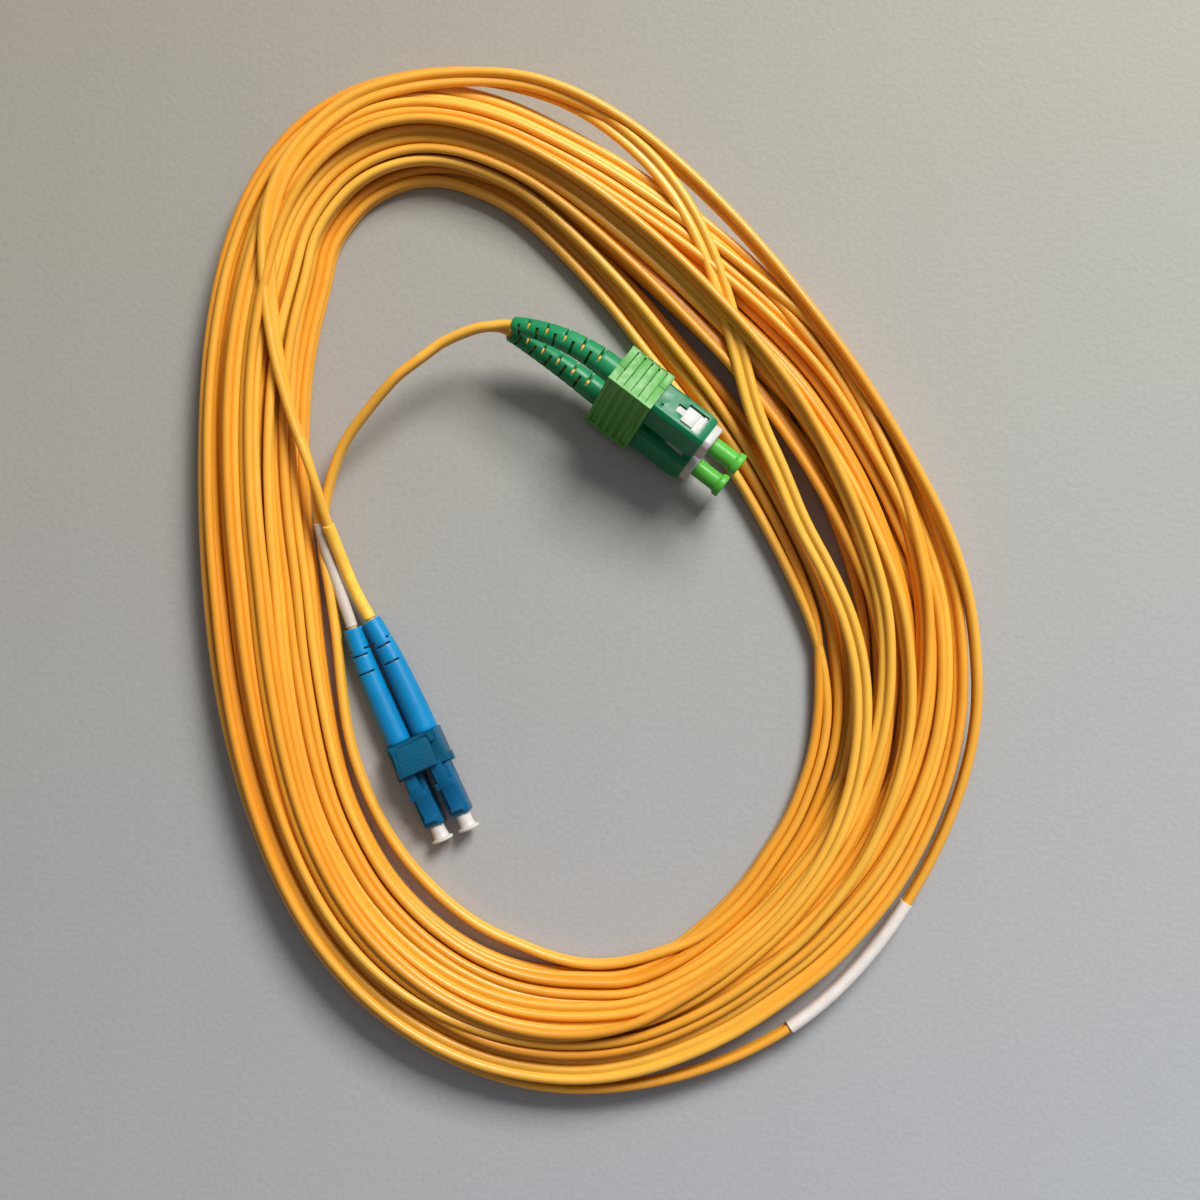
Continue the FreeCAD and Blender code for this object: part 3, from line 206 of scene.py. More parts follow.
FOLLOWED_SHARE = -0.04
LAID_PER_TURN = 0.9
FIRST_RING_Z = 3.2
OUT_OF_REACH = 1e6

rows = int(math.ceil(station_count / STATIONS))
padding = rows * STATIONS - station_count
across = wanted.copy()
height = REST_Z + LAID_PER_TURN * (station_deg - ROUTE_START_DEG) / 360
floor_z = LEG_RADIUS + LEG_OFFSET * np.abs(np.sin(roll))
normals = egg_normals(station_deg)
bases = egg_points(station_deg)
leg_u = LEG_OFFSET * np.cos(roll)
leg_z = LEG_OFFSET * np.sin(roll)
pull = np.where(on_lc | on_sc | (share < FOLLOWED_SHARE), FOLLOWED_PULL, FREE_PULL)
sc_forward = SC_FORWARD / np.linalg.norm(SC_FORWARD)
sc_stack = SC_STACK / np.linalg.norm(SC_STACK)
sc_normal = np.cross(sc_forward, sc_stack)
beside_plug = np.flatnonzero(np.abs((station_deg + 180 - PLUG_AT_DEG) % 360 - 180) < PLUG_SPAN_DEG)


def by_turn(values, fill=0):
    return np.concatenate([values, np.full(padding, fill)]).reshape(rows, STATIONS)


def contacts(u, z):
    u_rows, z_rows = by_turn(u), by_turn(z, OUT_OF_REACH)
    lu_rows, lz_rows = by_turn(leg_u), by_turn(leg_z)
    push_u = np.zeros_like(u_rows)
    push_z = np.zeros_like(z_rows)
    for one in (-1, 1):
        for other in (-1, 1):
            gap_u = (u_rows + one * lu_rows)[:, None] - (u_rows + other * lu_rows)[None]
            gap_z = (z_rows + one * lz_rows)[:, None] - (z_rows + other * lz_rows)[None]
            far = np.sqrt(gap_u ** 2 + gap_z ** 2) + 1e-9
            deep = np.clip(CONTACT - far, 0, DEEPEST_CONTACT)
            deep[np.arange(rows), np.arange(rows)] = 0
            push_u += (deep * gap_u / far).sum(1)
            push_z += (deep * gap_z / far).sum(1)
    return push_u.reshape(-1)[:station_count], push_z.reshape(-1)[:station_count]


for step in range(SETTLE_STEPS):
    late = step / SETTLE_STEPS
    height -= FALL * (1 - late) + LEAST_FALL
    push_u, push_z = contacts(across, height)
    across += PUSH_ACROSS * push_u
    height += PUSH_UP * push_z
    off = across - wanted
    off[1:-1] += EVEN_ACROSS * (off[:-2] - 2 * off[1:-1] + off[2:])
    across = wanted + off * (1 - pull)
    height[1:-1] += EVEN_UP * (height[:-2] - 2 * height[1:-1] + height[2:])
    place = np.column_stack([bases + normals * across[:, None], height])[beside_plug] - SC_ORIGIN
    local = np.column_stack([place @ sc_forward, place @ sc_stack, place @ sc_normal])
    for back, front, half_stack, half_thick in SC_BLOCKS:
        inside = (local[:, 0] > back - PLUG_REACH) & (local[:, 0] < front + PLUG_REACH)
        room_stack = half_stack + PLUG_ROOM - np.abs(local[:, 1])
        room_thick = half_thick + PLUG_ROOM - np.abs(local[:, 2])
        inside &= (room_stack > 0) & (room_thick > 0)
        by_stack = room_stack < room_thick
        push = np.where(by_stack[:, None],
                        sc_stack * (np.sign(local[:, 1]) * room_stack)[:, None],
                        sc_normal * (np.sign(local[:, 2]) * room_thick)[:, None])
        push = push * inside[:, None] * PLUG_PUSH
        across[beside_plug] += (push[:, :2] * normals[beside_plug]).sum(1)
        height[beside_plug] += push[:, 2]
    height = np.maximum(height, floor_z)
    height[-1] = LC_SPLIT[2]
    across[-1] = wanted[-1]
    height[0] = FIRST_RING_Z
    across[0] = wanted[0]

ring_route = np.column_stack([bases + normals * across[:, None], height])
SC_SPLIT_ROUTE = [SC_SPLIT, (-28.3, 45.55, 12.7), (-31.0, 43.5, 12.5), (-37.13, 36.85, 9.9),
                  (-43.83, 28.65, 6.5)]
route = np.vstack([SC_SPLIT_ROUTE, ring_route, LC_SPLIT])
route_roll = np.concatenate([np.full(len(SC_SPLIT_ROUTE), math.pi / 2), roll, [math.pi / 2]])


# The cord's shape: two round PVC legs extruded side by side and joined by a thin web. Its centre line
# is one smooth NURBS curve, and its jacket is a tube along points read from that curve.
LEG_ARC_DEG = 148
LEG_ARC_POINTS = 11
WEB_HALF = 0.40
TUBE_SHARP_DEG = 55


def linked(name, data):
    obj = bpy.data.objects.new(name, data)
    bpy.context.collection.objects.link(obj)
    return obj


def smooth_line(name, points, per_point=4):
    curve = bpy.data.curves.new(name, "CURVE")
    curve.dimensions = "3D"
    spline = curve.splines.new("NURBS")
    spline.points.add(len(points) - 1)
    for control, point in zip(spline.points, points):
        control.co = (point[0] * MM, point[1] * MM, point[2] * MM, 1)
    spline.order_u = 3
    spline.use_endpoint_u = True
    spline.resolution_u = per_point
    carrier = linked(name, curve)
    bpy.context.view_layer.update()
    line = bpy.data.meshes.new_from_object(carrier)
    read = np.array([vertex.co[:] for vertex in line.vertices])
    bpy.data.objects.remove(carrier)
    bpy.data.curves.remove(curve)
    bpy.data.meshes.remove(line)
    return read


def travelled(line):
    return np.concatenate([[0], np.cumsum(np.linalg.norm(np.diff(line, axis=0), axis=1))])


def ring_faces(count, sides):
    faces = []
    for index in range(count - 1):
        start = index * sides
        for corner in range(sides):
            after = (corner + 1) % sides
            faces.append((start + corner, start + sides + corner, start + sides + after, start + after))
    faces.append(tuple(range(sides)))
    faces.append(tuple(reversed(range((count - 1) * sides, count * sides))))
    return faces


def swept_tube(name, line, outline, rolls=None):
    tangents = np.gradient(line, axis=0)
    tangents /= np.linalg.norm(tangents, axis=1, keepdims=True)
    side = np.cross(tangents, (0, 0, 1))
    side /= np.linalg.norm(side, axis=1, keepdims=True)
    upright = np.cross(side, tangents)
    if rolls is None:
        rolls = np.zeros(len(line))
    cos_roll, sin_roll = np.cos(rolls)[:, None], np.sin(rolls)[:, None]
    wide = side * cos_roll + upright * sin_roll
    thin = upright * cos_roll - side * sin_roll
    ring = len(outline)
    points = line[:, None] + wide[:, None] * outline[None, :, :1] + thin[:, None] * outline[None, :, 1:]
    mesh = bpy.data.meshes.new(name)
    mesh.from_pydata(points.reshape(-1, 3), [], ring_faces(len(line), ring))
    layer = mesh.attributes.new("along", "FLOAT", "POINT")
    layer.data.foreach_set("value", np.repeat(travelled(line), ring).astype(np.float32))
    mesh.shade_smooth()
    mesh.set_sharp_from_angle(angle=math.radians(TUBE_SHARP_DEG))
    mesh.validate()
    return linked(name, mesh)


def dress(piece, body, slot_name, *nodes):
    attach(piece, body)
    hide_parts(*nodes)


def twin_outline():
    sweep = np.radians(np.linspace(-LEG_ARC_DEG, LEG_ARC_DEG, LEG_ARC_POINTS))
    leg = np.column_stack([LEG_OFFSET + LEG_RADIUS * np.cos(sweep), LEG_RADIUS * np.sin(sweep)])
    web = np.array([[0, WEB_HALF]])
    return np.vstack([leg, web, -leg, -web]) * MM


# The jacket: yellow-orange PVC with a soft sheen, faintly mottled, a little lighter and darker along
# its length as extruded, and finely scuffed all over

def node_tree(name):
    material = bpy.data.materials.new(name)
    material.use_nodes = True
    tree = material.node_tree
    return material, tree, tree.nodes["Principled BSDF"]


def add_noise(tree, scale, detail=3.0, stretch=(1, 1, 1)):
    where = tree.nodes.new("ShaderNodeTexCoord")
    mapping = tree.nodes.new("ShaderNodeMapping")
    mapping.inputs["Scale"].default_value = stretch
    noise = tree.nodes.new("ShaderNodeTexNoise")
    noise.inputs["Scale"].default_value = scale
    noise.inputs["Detail"].default_value = detail
    tree.links.new(where.outputs["Object"], mapping.inputs["Vector"])
    tree.links.new(mapping.outputs["Vector"], noise.inputs["Vector"])
    return noise.outputs["Fac"]


def add_ramp(tree, source, stops):
    ramp = tree.nodes.new("ShaderNodeValToRGB")
    while len(ramp.color_ramp.elements) < len(stops):
        ramp.color_ramp.elements.new(0.5)
    for element, (position, colour) in zip(ramp.color_ramp.elements, stops):
        element.position = position
        element.color = (*colour, 1)
    tree.links.new(source, ramp.inputs["Fac"])
    return ramp.outputs["Color"]


def add_bump(tree, shader, source, strength, distance):
    bump = tree.nodes.new("ShaderNodeBump")
    bump.inputs["Strength"].default_value = strength
    bump.inputs["Distance"].default_value = distance
    tree.links.new(source, bump.inputs["Height"])
    tree.links.new(bump.outputs["Normal"], shader.inputs["Normal"])


def multiplied(tree, one, other):
    mix = tree.nodes.new("ShaderNodeMix")
    mix.data_type = "RGBA"
    mix.blend_type = "MULTIPLY"
    factor, first, second = mix.inputs[0], mix.inputs[6], mix.inputs[7]
    factor.default_value = 1.0
    tree.links.new(one, first)
    tree.links.new(other, second)
    return mix.outputs[2]


def let_light_in(shader, weight, radius):
    shader.inputs["Subsurface Weight"].default_value = weight
    shader.inputs["Subsurface Radius"].default_value = radius
    shader.inputs["Subsurface Scale"].default_value = 1.0


def jacket_material():
    material, tree, shader = node_tree("yellow_jacket")
    along = tree.nodes.new("ShaderNodeAttribute")
    along.attribute_name = "along"
    drawn = tree.nodes.new("ShaderNodeTexNoise")
    drawn.noise_dimensions = "1D"
    drawn.inputs["Scale"].default_value = 5.0
    tree.links.new(along.outputs["Fac"], drawn.inputs["W"])
    lengthwise = add_ramp(tree, drawn.outputs["Fac"],
                          [(0.32, (0.80, 0.32, 0.018)), (0.66, (0.90, 0.475, 0.052))])
    mottle = add_ramp(tree, add_noise(tree, 110, 3), [(0.3, (0.93, 0.92, 0.90)), (0.7, (1.0, 1.0, 1.0))])
    tree.links.new(multiplied(tree, lengthwise, mottle), shader.inputs["Base Color"])
    sheen = add_ramp(tree, add_noise(tree, 900, 5), [(0.35, (0.30,) * 3), (0.75, (0.40,) * 3)])
    tree.links.new(sheen, shader.inputs["Roughness"])
    let_light_in(shader, 0.08, (0.0012, 0.0006, 0.0002))
    add_bump(tree, shader, add_noise(tree, 1800, 2), 0.06, 0.0001)
    return material


yellow_jacket = jacket_material()
line = smooth_line("cord_line", route)
marks = np.linspace(0, len(route) - 1, len(line))
line_rolls = np.interp(marks, np.arange(len(route)), route_roll)
cord = swept_tube("cord", line, twin_outline(), line_rolls)
cord.data.materials.append(yellow_jacket)
dress(cord, "cord_and_frames", "yellow", "cord_coil", "cord_sc_tail", "cord_lc_tail")

# Legs: at each plug the twin cord is unzipped into its two round legs. Each leg is 2.0 mm of the same
# yellow PVC over aramid yarn, and runs up inside its boot to the crimp sleeve of its connector.
SIDE_SIGNS = (("a", -1), ("b", 1))
SC_HALF_PITCH = 6.35
SC_PAIR = (("a", -SC_HALF_PITCH), ("b", SC_HALF_PITCH))
SC_LEG_INSIDE = [(-25.0, SC_HALF_PITCH, 0.0), (-29.6, SC_HALF_PITCH, 0.0), (-36.7, 5.33, 0.8),
                 (-43.4, 3.33, 2.36), (-46.46, 1.87, 3.5)]
SC_LEG_CLOSING = {"a": (-8.12, 54.03, 12.87), "b": (-7.68, 54.62, 14.88)}
SC_LEG_FREE = [(-10.22, 54.27, 13.9), (-13.71, 53.92, 13.9), (-20.63, 51.25, 12.7), (-23.2, 49.33, 12.7),
               SC_SPLIT]
LC_ORIGIN = (-20.127, -50.346, 3.318)
LC_FORWARD = np.array([0.410, -0.912, 0.0])
LC_ROLL = math.radians(6.0)
LC_HALF_PITCH = 3.125
LC_PAIR = (("a", -LC_HALF_PITCH), ("b", LC_HALF_PITCH))
LC_LEG_INSIDE = [(-23.5, LC_HALF_PITCH), (-36.0, LC_HALF_PITCH), (-45.97, 2.199), (-53.93, 1.46)]
LC_LEG_FREE = {"a": [(-46.43, 6.75, 4.4), (-48.03, 14.45, 7.0)],
               "b": [(-43.83, 7.45, 5.2), (-46.03, 14.25, 8.9)]}
LC_SPLIT_RUN = [(-48.08, 23.18, 11.35), LC_SPLIT]
LC_BOOT_END = 2
LEG_SIDES = 20


def plug_place(origin, forward, across):
    forward = forward / np.linalg.norm(forward)
    normal = np.cross(forward, across)
    normal = normal / np.linalg.norm(normal)
    return np.array(origin), np.stack([forward, np.cross(normal, forward), normal])


def in_plug(place, local):
    origin, axes = place
    return origin + np.asarray(local, float) @ axes


def leg_tube(name, points):
    leg_line = smooth_line(name + "_line", points, per_point=8)
    turns = np.radians(np.arange(LEG_SIDES) * 360 / LEG_SIDES)
    outline = LEG_RADIUS * MM * np.column_stack([np.cos(turns), np.sin(turns)])
    leg = swept_tube(name, leg_line, outline)
    leg.data.materials.append(yellow_jacket)
    dress(leg, "cord_and_frames", "yellow", name)
    return leg, leg_line


sc_place = plug_place(SC_ORIGIN, SC_FORWARD, SC_STACK)
lc_level = np.array([-LC_FORWARD[1], LC_FORWARD[0], 0.0])
lc_across = lc_level * math.cos(LC_ROLL) + np.array([0, 0, math.sin(LC_ROLL)])
lc_place = plug_place(LC_ORIGIN, LC_FORWARD, lc_across)
sc_leg_lines, sc_boot_tips, lc_legs, lc_leg_lines, lc_boot_tips = {}, {}, {}, {}, {}
for letter, sign in SIDE_SIGNS:
    inside = [in_plug(sc_place, (x, sign * y, z)) for x, y, z in SC_LEG_INSIDE]
    free = [np.array(SC_LEG_CLOSING[letter])]
    free += [np.array(point) + (0, 0, sign * LEG_OFFSET) for point in SC_LEG_FREE]
    leg, leg_line = leg_tube(f"sc_leg_{letter}", inside + free)
    sc_leg_lines[letter] = leg_line
    sc_boot_tips[letter] = inside[-1] * MM

    inside = [in_plug(lc_place, (x, sign * y, 0)) for x, y in LC_LEG_INSIDE]
    free = [np.array(point) for point in LC_LEG_FREE[letter]]
    free += [np.array(point) + (0, 0, sign * LEG_OFFSET) for point in LC_SPLIT_RUN]
    lc_legs[letter], lc_leg_lines[letter] = leg_tube(f"lc_leg_{letter}", inside + free)
    lc_boot_tips[letter] = inside[LC_BOOT_END] * MM


# Heat-shrink sleeves: one white and one clear yellow tube, 22 to 24 mm long, shrunk over the LC legs
# where they come out of the boots. They are a little uneven along their length, and bare here.
SHRINK_START = 0.4
SHRINKS = {"a": ("heat_shrink_a", "shrink_white", 23.8, 1.24),
           "b": ("heat_shrink_b", "shrink_yellow", 22.6, 1.34)}
SHRINK_SIDES = 24
SHRINK_SHARES = np.array([0, 0, 0.004, 0.012, 0.2, 0.4, 0.6, 0.8, 0.985, 0.995, 1, 1])
SHRINK_SWELL = np.array([0.80, 0.93, 0.99, 1, 1.02, 0.995, 1.015, 0.99, 1, 0.98, 0.92, 0.80])
TANGENT_STEP = 0.2
LOFT_SHARP_DEG = 40


def points_at(cord_line, distances):
    along = travelled(cord_line)
    return np.column_stack([np.interp(distances, along, cord_line[:, axis]) for axis in range(3)])


def frames_along(cord_line, distances, reference):
    ahead = points_at(cord_line, distances + TANGENT_STEP * MM)
    tangents = ahead - points_at(cord_line, distances - TANGENT_STEP * MM)
    tangents /= np.linalg.norm(tangents, axis=1, keepdims=True)
    first = reference - tangents * (tangents @ reference)[:, None]
    first /= np.linalg.norm(first, axis=1, keepdims=True)
    return points_at(cord_line, distances), first, np.cross(tangents, first)


def distance_near(cord_line, place):
    return travelled(cord_line)[np.argmin(np.linalg.norm(cord_line - place, axis=1))]


def rings_along(cord_line, distances, radii, sides, reference):
    points, first, second = frames_along(cord_line, distances, reference)
    turns = np.radians(np.arange(sides) * 360 / sides)
    around = first[:, None] * np.cos(turns)[None, :, None] + second[:, None] * np.sin(turns)[None, :, None]
    return points[:, None] + around * np.asarray(radii)[:, None, None]


def closed_loft(name, rings):
    mesh = bpy.data.meshes.new(name)
    mesh.from_pydata(rings.reshape(-1, 3), [], ring_faces(*rings.shape[:2]))
    facing_out = bmesh.new()
    facing_out.from_mesh(mesh)
    bmesh.ops.recalc_face_normals(facing_out, faces=facing_out.faces)
    facing_out.to_mesh(mesh)
    facing_out.free()
    mesh.shade_smooth()
    mesh.set_sharp_from_angle(angle=math.radians(LOFT_SHARP_DEG))
    return linked(name, mesh)


def shrink_material(name, dark, light, rough):
    material, tree, shader = node_tree(name)
    blotch = add_noise(tree, 260, 3)
    tree.links.new(add_ramp(tree, blotch, [(0.3, dark), (0.7, light)]), shader.inputs["Base Color"])
    sheen = add_ramp(tree, add_noise(tree, 1500, 3), [(0.3, (rough,) * 3), (0.7, (rough + 0.12,) * 3)])
    tree.links.new(sheen, shader.inputs["Roughness"])
    let_light_in(shader, 0.25, (0.001, 0.0008, 0.0006))
    add_bump(tree, shader, blotch, 0.25, 0.0002)
    return material


shrink_looks = {"a": shrink_material("white_shrink", (0.55, 0.49, 0.42), (0.64, 0.58, 0.52), 0.42),
                "b": shrink_material("yellow_shrink", (0.90, 0.50, 0.045), (1.0, 0.60, 0.075), 0.36)}
for letter, (name, slot_name, length, radius) in SHRINKS.items():
    leg_line = lc_leg_lines[letter]
    start = distance_near(leg_line, lc_boot_tips[letter]) + SHRINK_START * MM
    rings = rings_along(leg_line, start + SHRINK_SHARES * length * MM, radius * SHRINK_SWELL * MM,
                        SHRINK_SIDES, np.array([0.0, 0.0, 1.0]))
    sleeve = closed_loft(name, rings)
    sleeve.data.materials.append(shrink_looks[letter])
    dress(sleeve, "cord_and_frames", slot_name, name)

# Label sleeve: a white film 39 mm long wrapped round both legs of the outermost loop, bare here, with
# a narrow strip along its lower edge where the film is clear and the yellow jacket shows
LABEL_MIDDLE = (64.69, -82.43, 2.5)
LABEL_LENGTH = 38.9
LABEL_HALF_THICK = 1.36
LABEL_HALF_TALL = 2.45
LABEL_STRIP = (10, 11, 12)
LABEL_STRIP_FROM = 0.45


def label_outline():
    arc = np.radians(np.linspace(-90, 90, 9))
    reach = LABEL_HALF_TALL - LABEL_HALF_THICK
    end = np.column_stack([reach + LABEL_HALF_THICK * np.cos(arc), LABEL_HALF_THICK * np.sin(arc)])
    return np.vstack([end, -end])


# The label is on the last quarter of the cord's line
late_from = len(line) * 3 // 4
late_line = line[late_from:]
label_middle = distance_near(late_line, np.array(LABEL_MIDDLE) * MM)
chosen = np.abs(travelled(late_line) - label_middle) < LABEL_LENGTH / 2 * MM
label = swept_tube("label_sleeve", late_line[chosen], label_outline() * MM, line_rolls[late_from:][chosen])
label.data.materials.append(shrink_material("label_film", (0.76, 0.70, 0.66), (0.84, 0.80, 0.77), 0.38))
label.data.materials.append(shrink_looks["b"])
section = len(label_outline())
for face in label.data.polygons[:-2]:
    ring, corner = divmod(face.index, section)
    if corner in LABEL_STRIP and ring > LABEL_STRIP_FROM * chosen.sum():
        face.material_index = 1
dress(label, "cord_and_frames", "clear_yellow", "label_sleeve")

# SC boots: two soft moulded strain reliefs that bend towards each other, tapered, with ten slots
# each, cut across in turn from above and from the sides, through which the yellow leg shows
SC_BOOT_FRONT = -20.3
SC_BOOT_FIRST_SLOT = -27.5
SC_BOOT_SLOT_PITCH = 2.02
SC_BOOT_SLOTS = 10
SC_BOOT_SLOT_WIDTH = 0.62
SC_BOOT_SLOT_TURN_DEG = 20
SC_BOOT_SLOT_HALF_DEG = 56
BOOT_SIDES = 48
BOOT_RING_STEP = 0.9
BOOT_LEAST_STEP = 0.04
BOOT_WALL = 0.25
BOOT_SLACK = 0.02
BOOT_ROUNDING = 0.09
EDGE_ANGLE_DEG = 42
EDGE_SHARP_DEG = 38


def slotted_boot(name, axis_line, reference, profile, bore, slots, slot_half_deg, material):
    reach = [distance for distance, radius in profile]
    edges = [edge for low, high, facing in slots for edge in (low, high)]
    steps = np.arange(reach[0], reach[-1], BOOT_RING_STEP)
    marks = sorted(set(np.round(np.concatenate([reach, steps, edges]), 3)))
    marks = [mark for mark, after in zip(marks, marks[1:] + [math.inf]) if after - mark > BOOT_LEAST_STEP]
    outer_radius = np.interp(marks, reach, [radius for distance, radius in profile])
    inner_radius = np.minimum(np.interp(marks, *zip(*bore)), outer_radius - BOOT_WALL)
    distances = np.array(marks) * MM
    outer = rings_along(axis_line, distances, outer_radius * MM, BOOT_SIDES, reference)
    inner = rings_along(axis_line, distances, inner_radius * MM, BOOT_SIDES, reference)
    cells = np.ones((len(marks) - 1, BOOT_SIDES), bool)
    middle_deg = (np.arange(BOOT_SIDES) + 0.5) * 360 / BOOT_SIDES
    for low, high, facing_deg in slots:
        off = np.abs((middle_deg - facing_deg + 90) % 180 - 90)
        for row in range(len(marks) - 1):
            if low - BOOT_SLACK <= marks[row] and marks[row + 1] <= high + BOOT_SLACK:
                cells[row, off < slot_half_deg] = False
    shape = bmesh.new()
    out = [[shape.verts.new(point) for point in ring] for ring in outer]
    inn = [[shape.verts.new(point) for point in ring] for ring in inner]
    for row in range(len(marks) - 1):
        for side in range(BOOT_SIDES):
            if not cells[row, side]:
                continue
            after = (side + 1) % BOOT_SIDES
            shape.faces.new((out[row][side], out[row + 1][side], out[row + 1][after], out[row][after]))
            shape.faces.new((inn[row][after], inn[row + 1][after], inn[row + 1][side], inn[row][side]))
            walls = [(row == 0 or not cells[row - 1, side], (row, side), (row, after)),
                     (row == len(marks) - 2 or not cells[row + 1, side], (row + 1, after), (row + 1, side)),
                     (not cells[row, side - 1], (row + 1, side), (row, side)),
                     (not cells[row, after], (row, after), (row + 1, after))]
            for is_open, (row_one, side_one), (row_two, side_two) in walls:
                if is_open:
                    shape.faces.new((out[row_one][side_one], out[row_two][side_two],
                                     inn[row_two][side_two], inn[row_one][side_one]))
    bmesh.ops.delete(shape, geom=[vert for vert in shape.verts if not vert.link_faces], context="VERTS")
    bmesh.ops.recalc_face_normals(shape, faces=shape.faces)
    mesh = bpy.data.meshes.new(name)
    shape.to_mesh(mesh)
    shape.free()
    boot = with_soft_edges(linked(name, mesh), BOOT_ROUNDING)
    boot.data.materials.append(material)
    return boot


def with_soft_edges(rough, width):
    bevel = rough.modifiers.new("edges", "BEVEL")
    bevel.width = width * MM
    bevel.segments = 2
    bevel.limit_method = "ANGLE"
    bevel.angle_limit = math.radians(EDGE_ANGLE_DEG)
    bpy.context.view_layer.update()
    mesh = bpy.data.meshes.new_from_object(rough.evaluated_get(bpy.context.evaluated_depsgraph_get()))
    rough.modifiers.clear()
    rough.data = mesh
    mesh.shade_smooth()
    mesh.set_sharp_from_angle(angle=math.radians(EDGE_SHARP_DEG))
    return rough


def moulded_plastic(name, dark, light, rough, grain=0.05, glow=0.0):
    material, tree, shader = node_tree(name)
    flow = add_noise(tree, 120, 3)
    tree.links.new(add_ramp(tree, flow, [(0.3, dark), (0.7, light)]), shader.inputs["Base Color"])
    sheen = add_ramp(tree, add_noise(tree, 700, 5), [(0.3, (rough - 0.06,) * 3), (0.72, (rough + 0.10,) * 3)])
    tree.links.new(sheen, shader.inputs["Roughness"])
    shader.inputs["Specular IOR Level"].default_value = 0.3
    let_light_in(shader, glow, (0.0012, 0.0014, 0.0008))
    add_bump(tree, shader, add_noise(tree, 3200, 3), grain, 0.0001)
    return material


boot_green = moulded_plastic("boot_green", (0.008, 0.215, 0.078), (0.012, 0.265, 0.098), 0.36, glow=0.03)
for letter, y in SC_PAIR:
    boot_front = in_plug(sc_place, (SC_BOOT_FRONT, y, 0)) * MM
    axis_line = np.vstack([boot_front, sc_leg_lines[letter]])
    length = distance_near(axis_line, sc_boot_tips[letter]) / MM
    first = SC_BOOT_FRONT - SC_BOOT_FIRST_SLOT
    slots = []
    for index in range(SC_BOOT_SLOTS):
        middle = first + index * SC_BOOT_SLOT_PITCH
        slots.append((middle - SC_BOOT_SLOT_WIDTH / 2, middle + SC_BOOT_SLOT_WIDTH / 2,
                      SC_BOOT_SLOT_TURN_DEG + 90 * (index % 2)))
    profile = [(0, 2.75), (0.2, 2.88), (6.0, 2.85), (14.0, 2.5), (length - 0.3, 1.8), (length, 1.62)]
    bore = [(0, 2.3), (5.0, 2.3), (6.0, 1.15), (length, 1.15)]
    boot = slotted_boot(f"sc_boot_{letter}", axis_line, sc_place[1][1], profile, bore, slots,
                        SC_BOOT_SLOT_HALF_DEG, boot_green)
    dress(boot, "cord_and_frames", "green", f"sc_boot_{letter}")

# SC plug frames: the white inner bodies that hold the ferrules. Each shows at the nose and, through
# the grip's windows, as the catch that an adapter's hooks close on.
SC_FRAME_BAR = [(-18.0, 3.8, 2.95), (1.45, 3.8, 2.95), (1.8, 3.6, 2.75)]
SC_FRAME_CHAMFER = 0.9
SC_CATCH = (-6.5, -3.6, 4.3, 1.85)
SC_TONGUE = (-8.3, -6.4, 4.05, 0.75)
SC_WINDOW_BAR = (-2.7, -2.05, 4.1, 2.15)
SC_FRAME_ROUNDING = 0.12
ROD_SIDES = 40
CROSS_ROD_SIDES = 28


def bar(stations, y, z, chamfer):
    rings = []
    for x, half_y, half_z in stations:
        cut = min(chamfer, half_y * 0.9, half_z * 0.9)
        corners = [(half_y, half_z - cut), (half_y - cut, half_z)]
        corners += [(-wide, tall) for wide, tall in reversed(corners)]
        corners += [(-wide, -tall) for wide, tall in corners]
        rings.append([(x, y + corner_y, z + corner_z) for corner_y, corner_z in corners])
    return closed_loft("bar", np.array(rings))


def block(back, front, low_y, high_y, low_z, high_z):
    corners = [(high_y, high_z), (low_y, high_z), (low_y, low_z), (high_y, low_z)]
    return closed_loft("block", np.array([[(x, y, z) for y, z in corners] for x in (back, front)]))


def middle_block(back, front, y, half_y, half_z):
    return block(back, front, y - half_y, y + half_y, -half_z, half_z)


def circle(radius, sides):
    turns = np.radians((np.arange(sides) + 0.5) * 360 / sides)
    return [(radius * math.cos(turn), radius * math.sin(turn)) for turn in turns]


def rod(radius, back, front, y, z=0.0):
    rings = [[(x, y + wide, z + tall) for wide, tall in circle(radius, ROD_SIDES)] for x in (back, front)]
    return closed_loft("rod", np.array(rings))


def cross_rod(radius, low_y, high_y, x, z):
    rings = [[(x + ahead, y, z + tall) for tall, ahead in circle(radius, CROSS_ROD_SIDES)]
             for y in (low_y, high_y)]
    return closed_loft("cross_rod", np.array(rings))


def assembled(name, solids, cuts, rounding, place, material, tilt=None):
    whole = solids[0]
    for operation, others in (("UNION", solids[1:]), ("DIFFERENCE", cuts)):
        for other in others:
            boolean = whole.modifiers.new(operation, "BOOLEAN")
            boolean.operation = operation
            boolean.solver = "EXACT"
            boolean.object = other
    bpy.context.view_layer.update()
    mesh = bpy.data.meshes.new_from_object(whole.evaluated_get(bpy.context.evaluated_depsgraph_get()))
    whole.modifiers.clear()
    for other in [*solids[1:], *cuts]:
        bpy.data.objects.remove(other)
    whole.data = mesh
    whole.name = name
    mesh.name = name
    places = np.array([vertex.co[:] for vertex in mesh.vertices])
    if tilt:
        (root_x, root_z), slope, y = tilt
        turned_x = places[:, 0] * math.cos(slope) + places[:, 2] * math.sin(slope)
        turned_z = -places[:, 0] * math.sin(slope) + places[:, 2] * math.cos(slope)
        places = np.column_stack([root_x + turned_x, y + places[:, 1], root_z + turned_z])
    mesh.vertices.foreach_set("co", (in_plug(place, places) * MM).astype(np.float32).reshape(-1))
    mesh.update()
    piece = with_soft_edges(whole, rounding)
    piece.data.materials.clear()
    piece.data.materials.append(material)
    return piece


